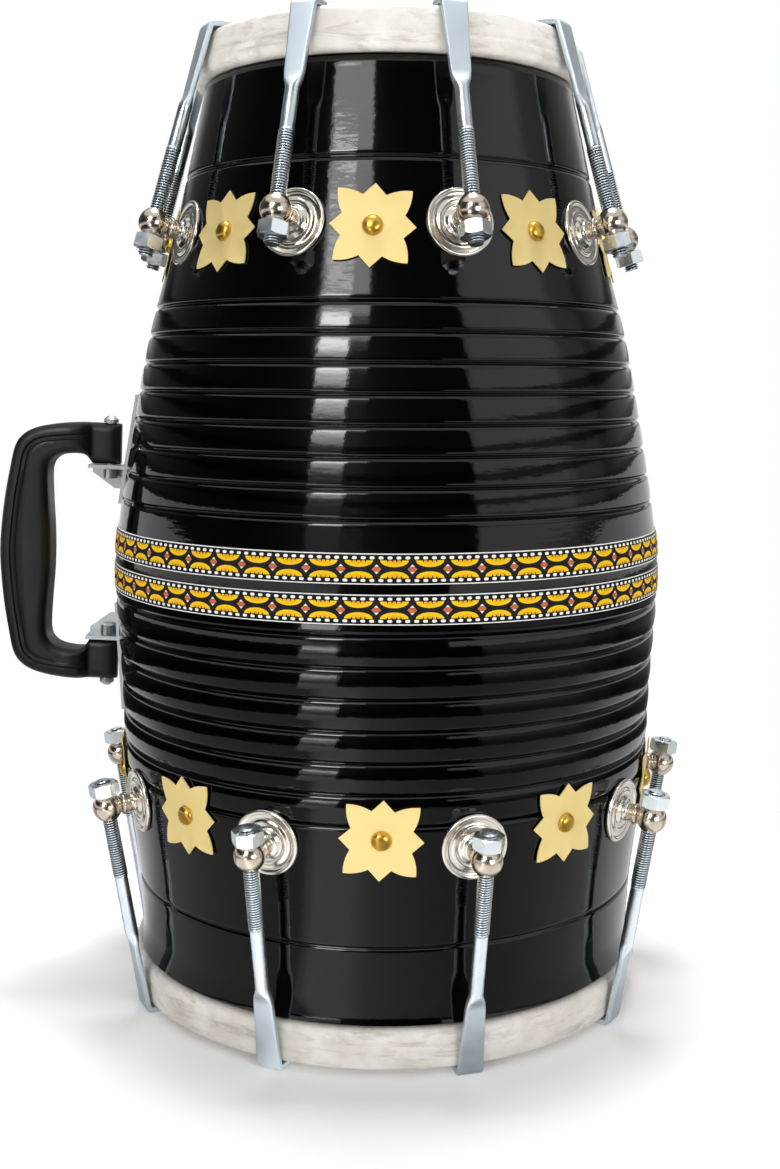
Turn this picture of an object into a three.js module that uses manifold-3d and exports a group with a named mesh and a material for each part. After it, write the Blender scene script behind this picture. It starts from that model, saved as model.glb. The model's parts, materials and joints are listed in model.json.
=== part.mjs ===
// Dholak, a bolt-tuned barrel drum that stands on its bass end.
// Millimetres, +Z up. The origin is the centre of the bass head's playing face, on the drum's axis.
// A place round the drum is an angle in degrees: 0 faces -Y, and it grows towards +X.

import * as THREE from "three";
import { mergeVertices } from "three/addons/utils/BufferGeometryUtils.js";
import Module from "manifold-3d";

const wasm = await Module();
wasm.setup();

// Drum
const DRUM_HEIGHT = 486.6;
const BELLY_RADIUS = 143.4;
const BELLY_HEIGHT = 215.8;
const SHELL_WALL = 9;
const ROUND_STEPS = 45;
const CLEARANCE = 0.3;

// Wall outline between the belly and each end: first the way along, then how much of the belly's
// extra radius is left there.
const TREBLE_WALL_SHARES = [
  [0, 1],
  [0.06, 0.99],
  [0.14, 0.94],
  [0.3, 0.8],
  [0.47, 0.64],
  [0.55, 0.545],
  [0.63, 0.43],
  [0.71, 0.325],
  [0.79, 0.235],
  [0.87, 0.145],
  [1, 0],
];
const BASS_WALL_SHARES = [
  [0, 1],
  [0.08, 0.96],
  [0.19, 0.84],
  [0.3, 0.755],
  [0.51, 0.7],
  [0.62, 0.57],
  [0.73, 0.34],
  [0.84, 0.14],
  [1, 0],
];

// Turned grooves round the shell
const WAIST_HEIGHT = 227.5;
const UPPER_GROOVE_START = 30.9;
const UPPER_GROOVE_PITCH = 13.72;
const UPPER_GROOVE_COUNT = 8;
const LOWER_GROOVE_START = 19.6;
const LOWER_GROOVE_PITCH = 14.7;
const LOWER_GROOVE_COUNT = 7;
const BAND_GROOVE_DEPTH = 1.6;
const SCRIBE_DEPTH = 1.1;
const SCRIBE_WIDTH = 2.2;
const TREBLE_SCRIBE_INSET = 67.8;
const BASS_SCRIBE_INSET = 59.8;

// Heads: each skin is lapped round its iron hoop, and the two are one dried piece
const TREBLE_HOOP_RADIUS = 99.5;
const BASS_HOOP_RADIUS = 137;
const TREBLE_HOOP_TAPER = 3;
const BASS_HOOP_TAPER = 0.8;
const HOOP_DEPTH = 20.6;
const HOOP_WIDTH = 10;
const HOOP_CHAMFER = 2.8;
const HOOP_CORNER = 2.2;
const SKIN_THICKNESS = 1;
const SKIN_CROWN = 0.8;
const SKIN_CROWN_RUN = 1.2;
const NECK_GAP = 0.5;
const LEDGE_GAP = 1.2;
const FLARE_SETBACK = 3.2;
const WALL_SETBACK = 5.4;
const TREBLE_FLARE_HEIGHT = 3.5;
const BASS_FLARE_HEIGHT = 9;

// Tuning studs: a turned post with a ball, on a pressed rosette washer
const STUDS_PER_HEAD = 9;
const FIRST_STUD_ANGLE = -63;
const TREBLE_STUD_INSET = 93.2;
const BASS_STUD_INSET = 107.8;
const STUD_STANDOFF = 16.8;
const BALL_RADIUS = 7.3;
const POST_RADIUS = 4.6;
const ROSETTE_RADIUS = 16;
const ROSETTE_RIM = 1.4;
const ROSETTE_DISH_RADIUS = 11.5;
const ROSETTE_DISH = 0.8;
const ROSETTE_BOSS_RADIUS = 6.6;
const ROSETTE_BOSS = 2.4;
const STUD_STEPS = 12;

// Hook bolts and nuts
const THREAD_RADIUS = 3.85;
const SHANK_RADIUS = 3.4;
const THREAD_REACH = 37;
const THREAD_RUNOUT = 1;
const TREBLE_ROD_END = 3;
const BASS_ROD_END = 1.2;
const STRAP_LENGTH = 33;
const SHOULDER_LENGTH = 7;
const STRAP_THICKNESS = 3;
const STRAP_ROOT_WIDTH = 9.2;
const STRAP_WIDTH = 12.4;
const STRAP_CORE = 2.2;
const BEND_INNER_RADIUS = 1.4;
const BEND_STEPS = 3;
const HOOK_TIP_LENGTH = 11;
const NUT_ACROSS_FLATS = 13;
const NUT_HEIGHT = 6.8;
const ROD_SIDES = 8;

// Carry handle and its two brackets
const HANDLE_ANGLE = -90;
const HANDLE_LEAN = 2.3;
const HANDLE_HEIGHT = 137.4;
const HANDLE_REACH = 56.6;
const HANDLE_BOW = 4.8;
const HANDLE_CROWN = 1.4;
const HANDLE_CORNER = 21;
const HANDLE_THICKNESS = 22;
const HANDLE_EDGE_ROUND = 3;
const GRIP_WIDTH = 27;
const GRIP_WAIST = 1.7;
const ARM_HEIGHT = 16.4;
const FINGER_GAP_CORNER = 11.5;
const BOSS_HEIGHT = 21.6;
const BOSS_RADIUS = 5.8;
const BOSS_STEP = 9;
const SWING_GAP = 0.6;
const PIVOT_RADIUS = 2.8;
const PIVOT_HEAD_RADIUS = 3.9;
const PIVOT_HEAD_HEIGHT = 3.4;
const PIVOT_NUT_RADIUS = 3.6;
const PIVOT_NUT_HEIGHT = 5.2;
const BRACKET_WIDTH = 14;
const BRACKET_THICKNESS = 2;
const BRACKET_INNER_REACH = 20;
const BRACKET_OUTER_REACH = 37.5;
const BRACKET_TAB_OVERHANG = 10.5;
const BRACKET_GUSSET_HEIGHT = 11;
const BRACKET_GUSSET_FOOT = 6.5;
const BRACKET_ROOT = 0.5;
const WALL_SAMPLES = 60;
const ROUND_SIDES = 12;

const CUT_OVERRUN = 2;

// What differs between the two ends: the face is the height of that end's playing face, and up is
// the way out of the drum there.
const TREBLE_END = {
  name: "treble",
  face: DRUM_HEIGHT,
  up: 1,
  hoopRadius: TREBLE_HOOP_RADIUS,
  hoopTaper: TREBLE_HOOP_TAPER,
  studInset: TREBLE_STUD_INSET,
  flareHeight: TREBLE_FLARE_HEIGHT,
  rodEnd: TREBLE_ROD_END,
};
const BASS_END = {
  name: "bass",
  face: 0,
  up: -1,
  hoopRadius: BASS_HOOP_RADIUS,
  hoopTaper: BASS_HOOP_TAPER,
  studInset: BASS_STUD_INSET,
  flareHeight: BASS_FLARE_HEIGHT,
  rodEnd: BASS_ROD_END,
};

// Solids and geometries
function toSolid(geometry) {
  const bare = geometry.index ? geometry.toNonIndexed() : geometry.clone();
  bare.deleteAttribute("normal");
  bare.deleteAttribute("uv");
  const merged = mergeVertices(bare);
  return new wasm.Manifold(
    new wasm.Mesh({
      numProp: 3,
      vertProperties: new Float32Array(merged.attributes.position.array),
      triVerts: new Uint32Array(merged.index.array),
    }),
  );
}

function toGeometry(solid) {
  const mesh = solid.getMesh();
  const geometry = new THREE.BufferGeometry();
  const places = new THREE.BufferAttribute(new Float32Array(mesh.vertProperties), 3);
  geometry.setAttribute("position", places);
  geometry.setIndex(new THREE.BufferAttribute(new Uint32Array(mesh.triVerts), 1));
  const flat = geometry.toNonIndexed();
  flat.computeVertexNormals();
  return flat;
}

// A solid turned about Z from points of radius and height, listed from low to high on the outside
function turned(points, steps, startAngle = 0) {
  const profile = points.map(([radius, height]) => new THREE.Vector2(radius, height));
  const geometry = new THREE.LatheGeometry(profile, steps, startAngle, 2 * Math.PI);
  geometry.rotateX(Math.PI / 2);
  return geometry;
}

// A round bar along Z between two heights
function bar(radius, low, high, sides) {
  const outline = [
    [0, low],
    [radius, low],
    [radius, high],
    [0, high],
  ];
  return turned(outline, sides);
}

// The radius that a polygon's corners need for its flats to lie at the given radius
function cornerRadius(flatRadius, sides) {
  return flatRadius / Math.cos(Math.PI / sides);
}

// Shell
const ledgeInset = SKIN_CROWN + HOOP_DEPTH + LEDGE_GAP;
const trebleWallEnd = DRUM_HEIGHT - ledgeInset - TREBLE_FLARE_HEIGHT;
const bassWallEnd = ledgeInset + BASS_FLARE_HEIGHT;

function fromShares(shares, along) {
  const last = shares.length - 1;
  const clamped = Math.min(Math.max(along, 0), 1);
  const next = Math.max(1, shares.findIndex(([way]) => way >= clamped));
  const [way1, left1] = shares[Math.min(next, last)];
  const [way0, left0] = shares[Math.min(next, last) - 1];
  return left0 + ((left1 - left0) * (clamped - way0)) / (way1 - way0);
}

function wallRadius(height) {
  const above = height > BELLY_HEIGHT;
  const shares = above ? TREBLE_WALL_SHARES : BASS_WALL_SHARES;
  const wallEnd = above ? trebleWallEnd : bassWallEnd;
  const endRadius = (above ? TREBLE_HOOP_RADIUS : BASS_HOOP_RADIUS) - WALL_SETBACK;
  const along = (height - BELLY_HEIGHT) / (wallEnd - BELLY_HEIGHT);
  return endRadius + (BELLY_RADIUS - endRadius) * fromShares(shares, along);
}

function grooveHeights() {
  const heights = [];
  for (let i = 0; i < LOWER_GROOVE_COUNT; i++) {
    heights.push(WAIST_HEIGHT - LOWER_GROOVE_START - i * LOWER_GROOVE_PITCH);
  }
  for (let i = 0; i < UPPER_GROOVE_COUNT; i++) {
    heights.push(WAIST_HEIGHT + UPPER_GROOVE_START + i * UPPER_GROOVE_PITCH);
  }
  return heights.sort((a, b) => a - b);
}

// Each band between two grooves is highest in its middle, and the wall is plain beyond them.
function wallOutline() {
  const scribes = [BASS_SCRIBE_INSET, DRUM_HEIGHT - TREBLE_SCRIBE_INSET];
  const points = [];
  for (const height of scribes) {
    points.push([wallRadius(height - SCRIBE_WIDTH / 2), height - SCRIBE_WIDTH / 2]);
    points.push([wallRadius(height) - SCRIBE_DEPTH, height]);
    points.push([wallRadius(height + SCRIBE_WIDTH / 2), height + SCRIBE_WIDTH / 2]);
  }
  const grooves = grooveHeights();
  grooves.forEach((height, i) => {
    points.push([wallRadius(height) - BAND_GROOVE_DEPTH, height]);
    const next = grooves[i + 1];
    if (next !== undefined) {
      const middle = (height + next) / 2;
      points.push([wallRadius(middle), middle]);
    }
  });
  const lowest = grooves[0] - SCRIBE_WIDTH;
  const highest = grooves[grooves.length - 1] + SCRIBE_WIDTH;
  for (const height of [lowest, highest]) {
    points.push([wallRadius(height), height]);
  }
  const plain = [BASS_WALL_SHARES, TREBLE_WALL_SHARES].flatMap((shares, end) => {
    const wallEnd = end ? trebleWallEnd : bassWallEnd;
    return shares.map(([way]) => BELLY_HEIGHT + way * (wallEnd - BELLY_HEIGHT));
  });
  for (const height of plain) {
    const free = points.every((point) => Math.abs(point[1] - height) > SCRIBE_WIDTH);
    if (free && (height < lowest || height > highest)) {
      points.push([wallRadius(height), height]);
    }
  }
  return points
    .filter(([, height]) => height > bassWallEnd && height < trebleWallEnd)
    .sort((a, b) => a[1] - b[1]);
}

// The neck is what the hoop slides over, and the skin bears on the crest in the middle of its wall.
function neckRadius(end) {
  return end.hoopRadius - HOOP_WIDTH - NECK_GAP;
}

function crestRadius(end) {
  return neckRadius(end) - SHELL_WALL / 2;
}

// The neck, the ledge under the hoop and the flare down to the wall
function endOutline(end) {
  const neck = neckRadius(end);
  const lip = end.face - end.up * (SKIN_THICKNESS + CLEARANCE);
  const ledge = end.face - end.up * ledgeInset;
  const wallEnd = ledge - end.up * end.flareHeight;
  const rounding = SHELL_WALL / 3;
  return [
    [neck - SHELL_WALL, lip - end.up * rounding],
    [crestRadius(end), lip],
    [neck, lip - end.up * rounding],
    [neck, ledge],
    [end.hoopRadius - FLARE_SETBACK, ledge],
    [end.hoopRadius - (FLARE_SETBACK + WALL_SETBACK) / 2, (ledge + wallEnd) / 2],
    [end.hoopRadius - WALL_SETBACK, wallEnd],
  ];
}

function boreOutline() {
  const heights = [bassWallEnd, BELLY_HEIGHT, (BELLY_HEIGHT + trebleWallEnd) / 2, trebleWallEnd];
  return heights.map((height) => {
    const wall = wallRadius(height) - SHELL_WALL - BAND_GROOVE_DEPTH;
    return [wall, height];
  });
}

const facetTurn = THREE.MathUtils.degToRad(FIRST_STUD_ANGLE) - Math.PI / ROUND_STEPS;

function shellGeometry() {
  const bass = endOutline(BASS_END);
  const treble = endOutline(TREBLE_END).reverse();
  const outside = [...bass, ...wallOutline(), ...treble];
  const bore = boreOutline().reverse();
  return turned([...outside, ...bore, bass[0]], ROUND_STEPS, facetTurn);
}

// Head: the playing face is stretched over the shell's crest, and from there the skin drops to the
// hoop and laps round it
function headGeometry(end) {
  const inner = end.hoopRadius - HOOP_WIDTH;
  const top = end.hoopRadius - end.hoopTaper;
  const corner = HOOP_CORNER;
  const crest = crestRadius(end);
  const crease = SKIN_CROWN + HOOP_DEPTH - HOOP_CHAMFER;
  const hoopEnd = SKIN_CROWN + HOOP_DEPTH;
  const outline = [
    [0, 0],
    [crest, 0],
    [crest + SKIN_CROWN_RUN, SKIN_CROWN],
    [top - corner, SKIN_CROWN],
    [top - corner * (1 - Math.SQRT1_2), SKIN_CROWN + corner * (1 - Math.SQRT1_2)],
    [top, SKIN_CROWN + corner],
    [end.hoopRadius, crease],
    [end.hoopRadius - HOOP_CHAMFER, hoopEnd],
    [inner + corner / 2, hoopEnd],
    [inner, hoopEnd - corner / 2],
    [inner, SKIN_CROWN + SKIN_THICKNESS],
    [crest + SKIN_CROWN_RUN, SKIN_CROWN + SKIN_THICKNESS],
    [crest, SKIN_THICKNESS],
    [0, SKIN_THICKNESS],
  ].map(([radius, below]) => [radius, end.face - end.up * below]);
  return turned(end.up > 0 ? outline.reverse() : outline, ROUND_STEPS, facetTurn);
}

// Stud, hook bolt and nut are drawn in a frame at the ball's centre: X away from the drum's axis,
// Z towards the nearer head. Each end's frame is worked out from its wall and its hoop.
function studFrame(end) {
  const ballHeight = end.face - end.up * end.studInset;
  const facet = Math.cos(Math.PI / ROUND_STEPS);
  const headward = wallRadius(ballHeight + end.up * ROSETTE_RADIUS);
  const tailward = wallRadius(ballHeight - end.up * ROSETTE_RADIUS);
  const postTilt = Math.atan2(tailward - headward, 2 * ROSETTE_RADIUS);
  const seat = Math.max(wallRadius(ballHeight), (headward + tailward) / 2) * facet + CLEARANCE;
  const ballRadius = seat + STUD_STANDOFF;
  const offset = STRAP_THICKNESS / 2 + CLEARANCE;
  const hoopTop = end.studInset - SKIN_CROWN;
  const hoopPoints = [
    [ballRadius - end.hoopRadius + end.hoopTaper, hoopTop - HOOP_CORNER],
    [ballRadius - end.hoopRadius + end.hoopTaper, hoopTop],
    [ballRadius - end.hoopRadius, hoopTop - HOOP_DEPTH + HOOP_CHAMFER],
  ];
  const rodTilts = hoopPoints.map(([out, along]) => {
    return Math.acos(offset / Math.hypot(out, along)) - Math.atan2(along, out);
  });
  return { ballHeight, ballRadius, postTilt, rodTilt: Math.min(...rodTilts) };
}

const studFrames = { treble: studFrame(TREBLE_END), bass: studFrame(BASS_END) };

// The nut bears on the edge of the rod's hole through the ball.
const holeFlatRadius = THREAD_RADIUS + CLEARANCE;
const nutFace = -Math.sqrt(BALL_RADIUS ** 2 - holeFlatRadius ** 2) - CLEARANCE;

// The post's own axis points out of the drum, with the rosette's back at zero.
function studGeometry(end) {
  const { postTilt, rodTilt } = studFrames[end.name];
  const centre = STUD_STANDOFF * Math.cos(postTilt);
  const joint = centre - Math.sqrt(BALL_RADIUS ** 2 - POST_RADIUS ** 2);
  const ballShares = [-0.4, 0, 0.45, 0.82];
  const ball = ballShares.map((share) => {
    const along = share * BALL_RADIUS;
    return [Math.sqrt(BALL_RADIUS ** 2 - along ** 2), centre + along];
  });
  const outline = [
    [0, 0],
    [ROSETTE_RADIUS, 0],
    [ROSETTE_RADIUS - ROSETTE_RIM / 2, ROSETTE_RIM],
    [ROSETTE_DISH_RADIUS, ROSETTE_DISH],
    [ROSETTE_BOSS_RADIUS, ROSETTE_BOSS],
    [POST_RADIUS, ROSETTE_BOSS],
    [POST_RADIUS, joint],
    ...ball,
    [0, centre + BALL_RADIUS],
  ];
  const post = turned(outline, STUD_STEPS);
  post.translate(0, 0, -centre);
  post.rotateY(Math.PI / 2 - postTilt);
  const reach = BALL_RADIUS + CUT_OVERRUN;
  const hole = bar(cornerRadius(holeFlatRadius, ROD_SIDES), -reach, reach, ROD_SIDES);
  hole.rotateY(-rodTilt);
  return toGeometry(toSolid(post).subtract(toSolid(hole)));
}

// The nut is drawn on the rod's axis, against the ball.
function nutGeometry() {
  const outline = new THREE.Shape();
  const corner = NUT_ACROSS_FLATS / 2 / Math.cos(Math.PI / 6);
  for (let i = 0; i < 6; i++) {
    const angle = (i * Math.PI) / 3;
    outline[i ? "lineTo" : "moveTo"](corner * Math.cos(angle), corner * Math.sin(angle));
  }
  outline.closePath();
  const hole = new THREE.Path();
  const holeRadius = cornerRadius(holeFlatRadius, ROD_SIDES);
  for (let i = 0; i < ROD_SIDES; i++) {
    const angle = (-i * 2 * Math.PI) / ROD_SIDES;
    hole[i ? "lineTo" : "moveTo"](holeRadius * Math.cos(angle), holeRadius * Math.sin(angle));
  }
  hole.closePath();
  outline.holes.push(hole);
  const nut = new THREE.ExtrudeGeometry(outline, { depth: NUT_HEIGHT, bevelEnabled: false });
  nut.translate(0, 0, nutFace - NUT_HEIGHT);
  return nut;
}

// A flat bar that follows stations of place, thickness direction, width and thickness
function sweptStrap(stations) {
  const corners = [];
  for (const { x, z, angle, width, thickness } of stations) {
    const outX = (Math.cos(angle) * thickness) / 2;
    const outZ = (Math.sin(angle) * thickness) / 2;
    corners.push([x + outX, -width / 2, z + outZ], [x + outX, width / 2, z + outZ]);
    corners.push([x - outX, width / 2, z - outZ], [x - outX, -width / 2, z - outZ]);
  }
  const faces = [];
  for (let i = 0; i + 1 < stations.length; i++) {
    for (let k = 0; k < 4; k++) {
      const a = 4 * i + k;
      const b = 4 * i + ((k + 1) % 4);
      faces.push([a, b, b + 4], [a, b + 4, a + 4]);
    }
  }
  const last = corners.length - 4;
  faces.push([0, 2, 1], [0, 3, 2]);
  faces.push([last, last + 1, last + 2], [last, last + 2, last + 3]);
  const geometry = new THREE.BufferGeometry();
  const places = new Float32Array(corners.flat());
  geometry.setAttribute("position", new THREE.BufferAttribute(places, 3));
  geometry.setIndex(faces.flat());
  return geometry;
}

// The hook bolt: a round rod, forged flat towards the hoop and bent over its end
function hookBoltGeometry(end) {
  const { rodTilt } = studFrames[end.name];
  const tipHeight = end.studInset - SKIN_CROWN + CLEARANCE + STRAP_THICKNESS / 2;
  const elbow = tipHeight / Math.cos(rodTilt);
  const bendRadius = BEND_INNER_RADIUS + STRAP_THICKNESS / 2;
  const bendAngle = Math.PI / 2 - rodTilt;
  const bendRun = bendRadius * Math.tan(bendAngle / 2);
  const bendStart = elbow - bendRun;
  const strapRoot = bendStart - STRAP_LENGTH;
  const shankEnd = strapRoot - SHOULDER_LENGTH;
  const onAxis = (along) => ({
    x: -Math.sin(rodTilt) * along,
    z: Math.cos(rodTilt) * along,
    angle: rodTilt,
  });
  const core = { width: STRAP_CORE * 2, thickness: STRAP_CORE * 2 };
  const root = { width: STRAP_ROOT_WIDTH, thickness: STRAP_THICKNESS };
  const full = { width: STRAP_WIDTH, thickness: STRAP_THICKNESS };
  const stations = [
    { ...onAxis(shankEnd), ...core },
    { ...onAxis(strapRoot), ...root },
    { ...onAxis(bendStart), ...full },
  ];
  const start = onAxis(bendStart);
  const centreX = start.x - Math.cos(rodTilt) * bendRadius;
  const centreZ = start.z - Math.sin(rodTilt) * bendRadius;
  for (let i = 1; i <= BEND_STEPS; i++) {
    const angle = rodTilt + (bendAngle * i) / BEND_STEPS;
    const x = centreX + Math.cos(angle) * bendRadius;
    const z = centreZ + Math.sin(angle) * bendRadius;
    stations.push({ x, z, angle, ...full });
  }
  const tipX = centreX - HOOK_TIP_LENGTH + bendRun;
  stations.push({ x: tipX, z: tipHeight, angle: Math.PI / 2, ...full });
  const rodLow = nutFace - NUT_HEIGHT - end.rodEnd;
  const outline = [
    [0, rodLow],
    [THREAD_RADIUS, rodLow],
    [THREAD_RADIUS, THREAD_REACH],
    [SHANK_RADIUS, THREAD_REACH + THREAD_RUNOUT],
    [SHANK_RADIUS, shankEnd + THREAD_RUNOUT],
    [STRAP_CORE, (shankEnd + strapRoot) / 2],
    [0, (shankEnd + strapRoot) / 2],
  ];
  const rod = turned(outline, ROD_SIDES);
  rod.rotateY(-rodTilt);
  return toGeometry(toSolid(rod).add(toSolid(sweptStrap(stations))));
}

// Handle frame: its Z is the pivot axis, which leans towards the treble end's smaller wall, and its
// X points away from the drum. Along the handle, distances count from its middle to either end.
const handleLean = THREE.MathUtils.degToRad(HANDLE_LEAN);
const armTop = HANDLE_HEIGHT / 2;
const armLow = armTop - ARM_HEIGHT;
const bossLow = armTop - BOSS_HEIGHT;
const tabTop = bossLow - CLEARANCE;
const tabLow = tabTop - BRACKET_THICKNESS;
const plateLow = tabTop - BRACKET_INNER_REACH;
const plateHigh = tabTop + BRACKET_OUTER_REACH;

// How far a bracket's base plate lies from the drum's axis: a straight line just clear of the wall.
// The way is 1 at the handle's upper end and -1 at its lower end.
function plateBack(way) {
  const wall = (along) => {
    return wallRadius(WAIST_HEIGHT + way * along) + way * Math.tan(handleLean) * along;
  };
  const slope = (wall(plateHigh) - wall(plateLow)) / (plateHigh - plateLow);
  const samples = Array.from({ length: WALL_SAMPLES + 1 }, (_, i) => {
    return plateLow + ((plateHigh - plateLow) * i) / WALL_SAMPLES;
  });
  const stands = samples.map((along) => wall(along) - slope * (along - plateLow));
  return (along) => Math.max(...stands) + CLEARANCE + slope * (along - plateLow);
}

// The pivot axis stands off the nearer plate by the boss's round end and a gap to swing in.
const plateFronts = [1, -1].flatMap((way) => {
  return [bossLow, armTop].map((along) => plateBack(way)(along) + BRACKET_THICKNESS);
});
const pivotDistance = Math.max(...plateFronts) + SWING_GAP + BOSS_RADIUS;

// The C outline of the handle, symmetric about its middle: X from the pivot, Z along it
function handleOutline() {
  const shoulder = HANDLE_REACH - HANDLE_BOW;
  const gripIn = HANDLE_REACH - GRIP_WIDTH;
  const gripEnd = armLow - FINGER_GAP_CORNER;
  const corner = (from, middle, to, steps) => {
    const points = [from, middle, to].map(([x, z]) => new THREE.Vector2(x, z));
    const curve = new THREE.QuadraticBezierCurve(...points);
    return curve.getPoints(steps).map((point) => [point.x, point.y]);
  };
  const outer = corner(
    [shoulder - HANDLE_CORNER, armTop - HANDLE_CROWN],
    [shoulder, armTop - HANDLE_CROWN],
    [shoulder, armTop - HANDLE_CORNER],
    4,
  );
  const inner = corner(
    [gripIn + GRIP_WAIST, gripEnd],
    [gripIn + GRIP_WAIST, armLow],
    [gripIn + GRIP_WAIST - FINGER_GAP_CORNER, armLow],
    4,
  );
  const bowShare = 1 / 4;
  const bow = [HANDLE_REACH - HANDLE_BOW * bowShare, (armTop - HANDLE_CORNER) * Math.sqrt(bowShare)];
  const waist = [gripIn + GRIP_WAIST * bowShare, gripEnd * Math.sqrt(bowShare)];
  const armEnd = [
    [-BOSS_RADIUS, bossLow],
    [-BOSS_RADIUS, armTop],
  ];
  const step = [
    [BOSS_STEP + HANDLE_EDGE_ROUND, armLow],
    [BOSS_STEP, bossLow],
  ];
  const outerHalf = [...armEnd, [BOSS_STEP, armTop], ...outer, bow];
  const innerHalf = [waist, ...inner, ...step];
  const mirror = (points) => points.map(([x, z]) => [x, -z]).reverse();
  const outerTip = [HANDLE_REACH, 0];
  const innerTip = [gripIn, 0];
  return [
    ...outerHalf,
    outerTip,
    ...mirror(outerHalf),
    ...mirror(innerHalf),
    innerTip,
    ...innerHalf,
  ];
}

function handleGeometry() {
  const outline = handleOutline().map(([x, z]) => new THREE.Vector2(x, z));
  const plate = new THREE.ExtrudeGeometry(new THREE.Shape(outline), {
    depth: HANDLE_THICKNESS - 2 * HANDLE_EDGE_ROUND,
    bevelEnabled: true,
    bevelThickness: HANDLE_EDGE_ROUND,
    bevelSize: HANDLE_EDGE_ROUND,
    bevelOffset: -HANDLE_EDGE_ROUND,
    bevelSegments: 2,
  });
  plate.translate(0, 0, -(HANDLE_THICKNESS - 2 * HANDLE_EDGE_ROUND) / 2);
  plate.rotateX(Math.PI / 2);
  // Seen along the pivot axis, the arms narrow to a round end that clears the bracket as it turns.
  const footprint = new THREE.Shape();
  const neck = BOSS_STEP + HANDLE_THICKNESS / 2 - BOSS_RADIUS;
  footprint.moveTo(0, -BOSS_RADIUS);
  footprint.lineTo(BOSS_STEP, -BOSS_RADIUS);
  footprint.lineTo(neck, -HANDLE_THICKNESS / 2 - CUT_OVERRUN);
  footprint.lineTo(HANDLE_REACH + CUT_OVERRUN, -HANDLE_THICKNESS / 2 - CUT_OVERRUN);
  footprint.lineTo(HANDLE_REACH + CUT_OVERRUN, HANDLE_THICKNESS / 2 + CUT_OVERRUN);
  footprint.lineTo(neck, HANDLE_THICKNESS / 2 + CUT_OVERRUN);
  footprint.lineTo(BOSS_STEP, BOSS_RADIUS);
  footprint.lineTo(0, BOSS_RADIUS);
  footprint.absarc(0, 0, BOSS_RADIUS, Math.PI / 2, (3 * Math.PI) / 2, false);
  const reach = armTop + CUT_OVERRUN;
  const column = new THREE.ExtrudeGeometry(footprint, {
    depth: 2 * reach,
    bevelEnabled: false,
    curveSegments: ROUND_SIDES / 2,
  });
  column.translate(0, 0, -reach);
  const holeRadius = cornerRadius(PIVOT_RADIUS + CLEARANCE, ROUND_SIDES);
  const hole = bar(holeRadius, -reach, reach, ROUND_SIDES);
  return toGeometry(toSolid(plate).intersect(toSolid(column)).subtract(toSolid(hole)));
}

// Bracket, in the handle's frame: a base plate along the wall, a tab under the boss, a gusset and
// the riveted pivot bolt
function bracketGeometry(way) {
  const back = plateBack(way);
  const faceX = (along) => back(along) - pivotDistance;
  const plateOutline = [
    [faceX(plateLow), plateLow],
    [faceX(plateLow) + BRACKET_THICKNESS, plateLow],
    [faceX(plateHigh) + BRACKET_THICKNESS, plateHigh],
    [faceX(plateHigh), plateHigh],
  ];
  const root = (along) => faceX(along) + BRACKET_ROOT;
  const tabOutline = [
    [root(tabLow), tabLow],
    [BRACKET_TAB_OVERHANG, tabLow],
    [BRACKET_TAB_OVERHANG, tabTop],
    [root(tabTop), tabTop],
  ];
  const gussetLow = tabLow - BRACKET_GUSSET_HEIGHT;
  const gussetOutline = [
    [root(gussetLow), gussetLow],
    [root(gussetLow) + BRACKET_GUSSET_FOOT, gussetLow],
    [BRACKET_TAB_OVERHANG, tabLow - BRACKET_GUSSET_HEIGHT / 4],
    [BRACKET_TAB_OVERHANG, tabTop - BRACKET_ROOT],
    [root(tabTop), tabTop - BRACKET_ROOT],
  ];
  const slab = (outline, from, to) => {
    const shape = new THREE.Shape(outline.map(([x, z]) => new THREE.Vector2(x, way * z)));
    const geometry = new THREE.ExtrudeGeometry(shape, { depth: to - from, bevelEnabled: false });
    geometry.rotateX(Math.PI / 2);
    geometry.translate(0, to, 0);
    return toSolid(geometry);
  };
  const half = BRACKET_WIDTH / 2;
  const headLow = armTop + CLEARANCE;
  const boltOutline = [
    [0, tabLow - PIVOT_NUT_HEIGHT],
    [PIVOT_NUT_RADIUS, tabLow - PIVOT_NUT_HEIGHT],
    [PIVOT_NUT_RADIUS, tabLow + BRACKET_ROOT],
    [PIVOT_RADIUS, tabLow + BRACKET_ROOT],
    [PIVOT_RADIUS, headLow],
    [PIVOT_HEAD_RADIUS, headLow],
    [PIVOT_HEAD_RADIUS, headLow + PIVOT_HEAD_HEIGHT / 2],
    [PIVOT_HEAD_RADIUS / 2, headLow + PIVOT_HEAD_HEIGHT],
    [0, headLow + PIVOT_HEAD_HEIGHT],
  ].map(([radius, along]) => [radius, way * along]);
  const bolt = turned(way > 0 ? boltOutline : boltOutline.reverse(), ROUND_SIDES);
  const bracket = slab(plateOutline, -half, half)
    .add(slab(tabOutline, -half, half))
    .add(slab(gussetOutline, -half, -half + BRACKET_THICKNESS))
    .add(toSolid(bolt));
  return toGeometry(bracket);
}

// Materials
const shellLacquer = new THREE.MeshStandardMaterial({ color: 0x0b0b0c, roughness: 0.12, metalness: 0 });
const goatskin = new THREE.MeshStandardMaterial({ color: 0xe6ddcf, roughness: 0.7, metalness: 0 });
const zincPlate = new THREE.MeshStandardMaterial({ color: 0xb9c0c6, roughness: 0.3, metalness: 1 });
const nickelPlate = new THREE.MeshStandardMaterial({ color: 0xc9c0b2, roughness: 0.15, metalness: 1 });
const handlePlastic = new THREE.MeshStandardMaterial({ color: 0x1c1c1d, roughness: 0.5, metalness: 0 });
const bracketSteel = new THREE.MeshStandardMaterial({ color: 0xc4c6c4, roughness: 0.3, metalness: 1 });

function named(name, geometry, material) {
  const mesh = new THREE.Mesh(geometry, material);
  mesh.name = name;
  return mesh;
}

// Assembly
const dholak = new THREE.Group();
dholak.add(named("shell", shellGeometry(), shellLacquer));

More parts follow.
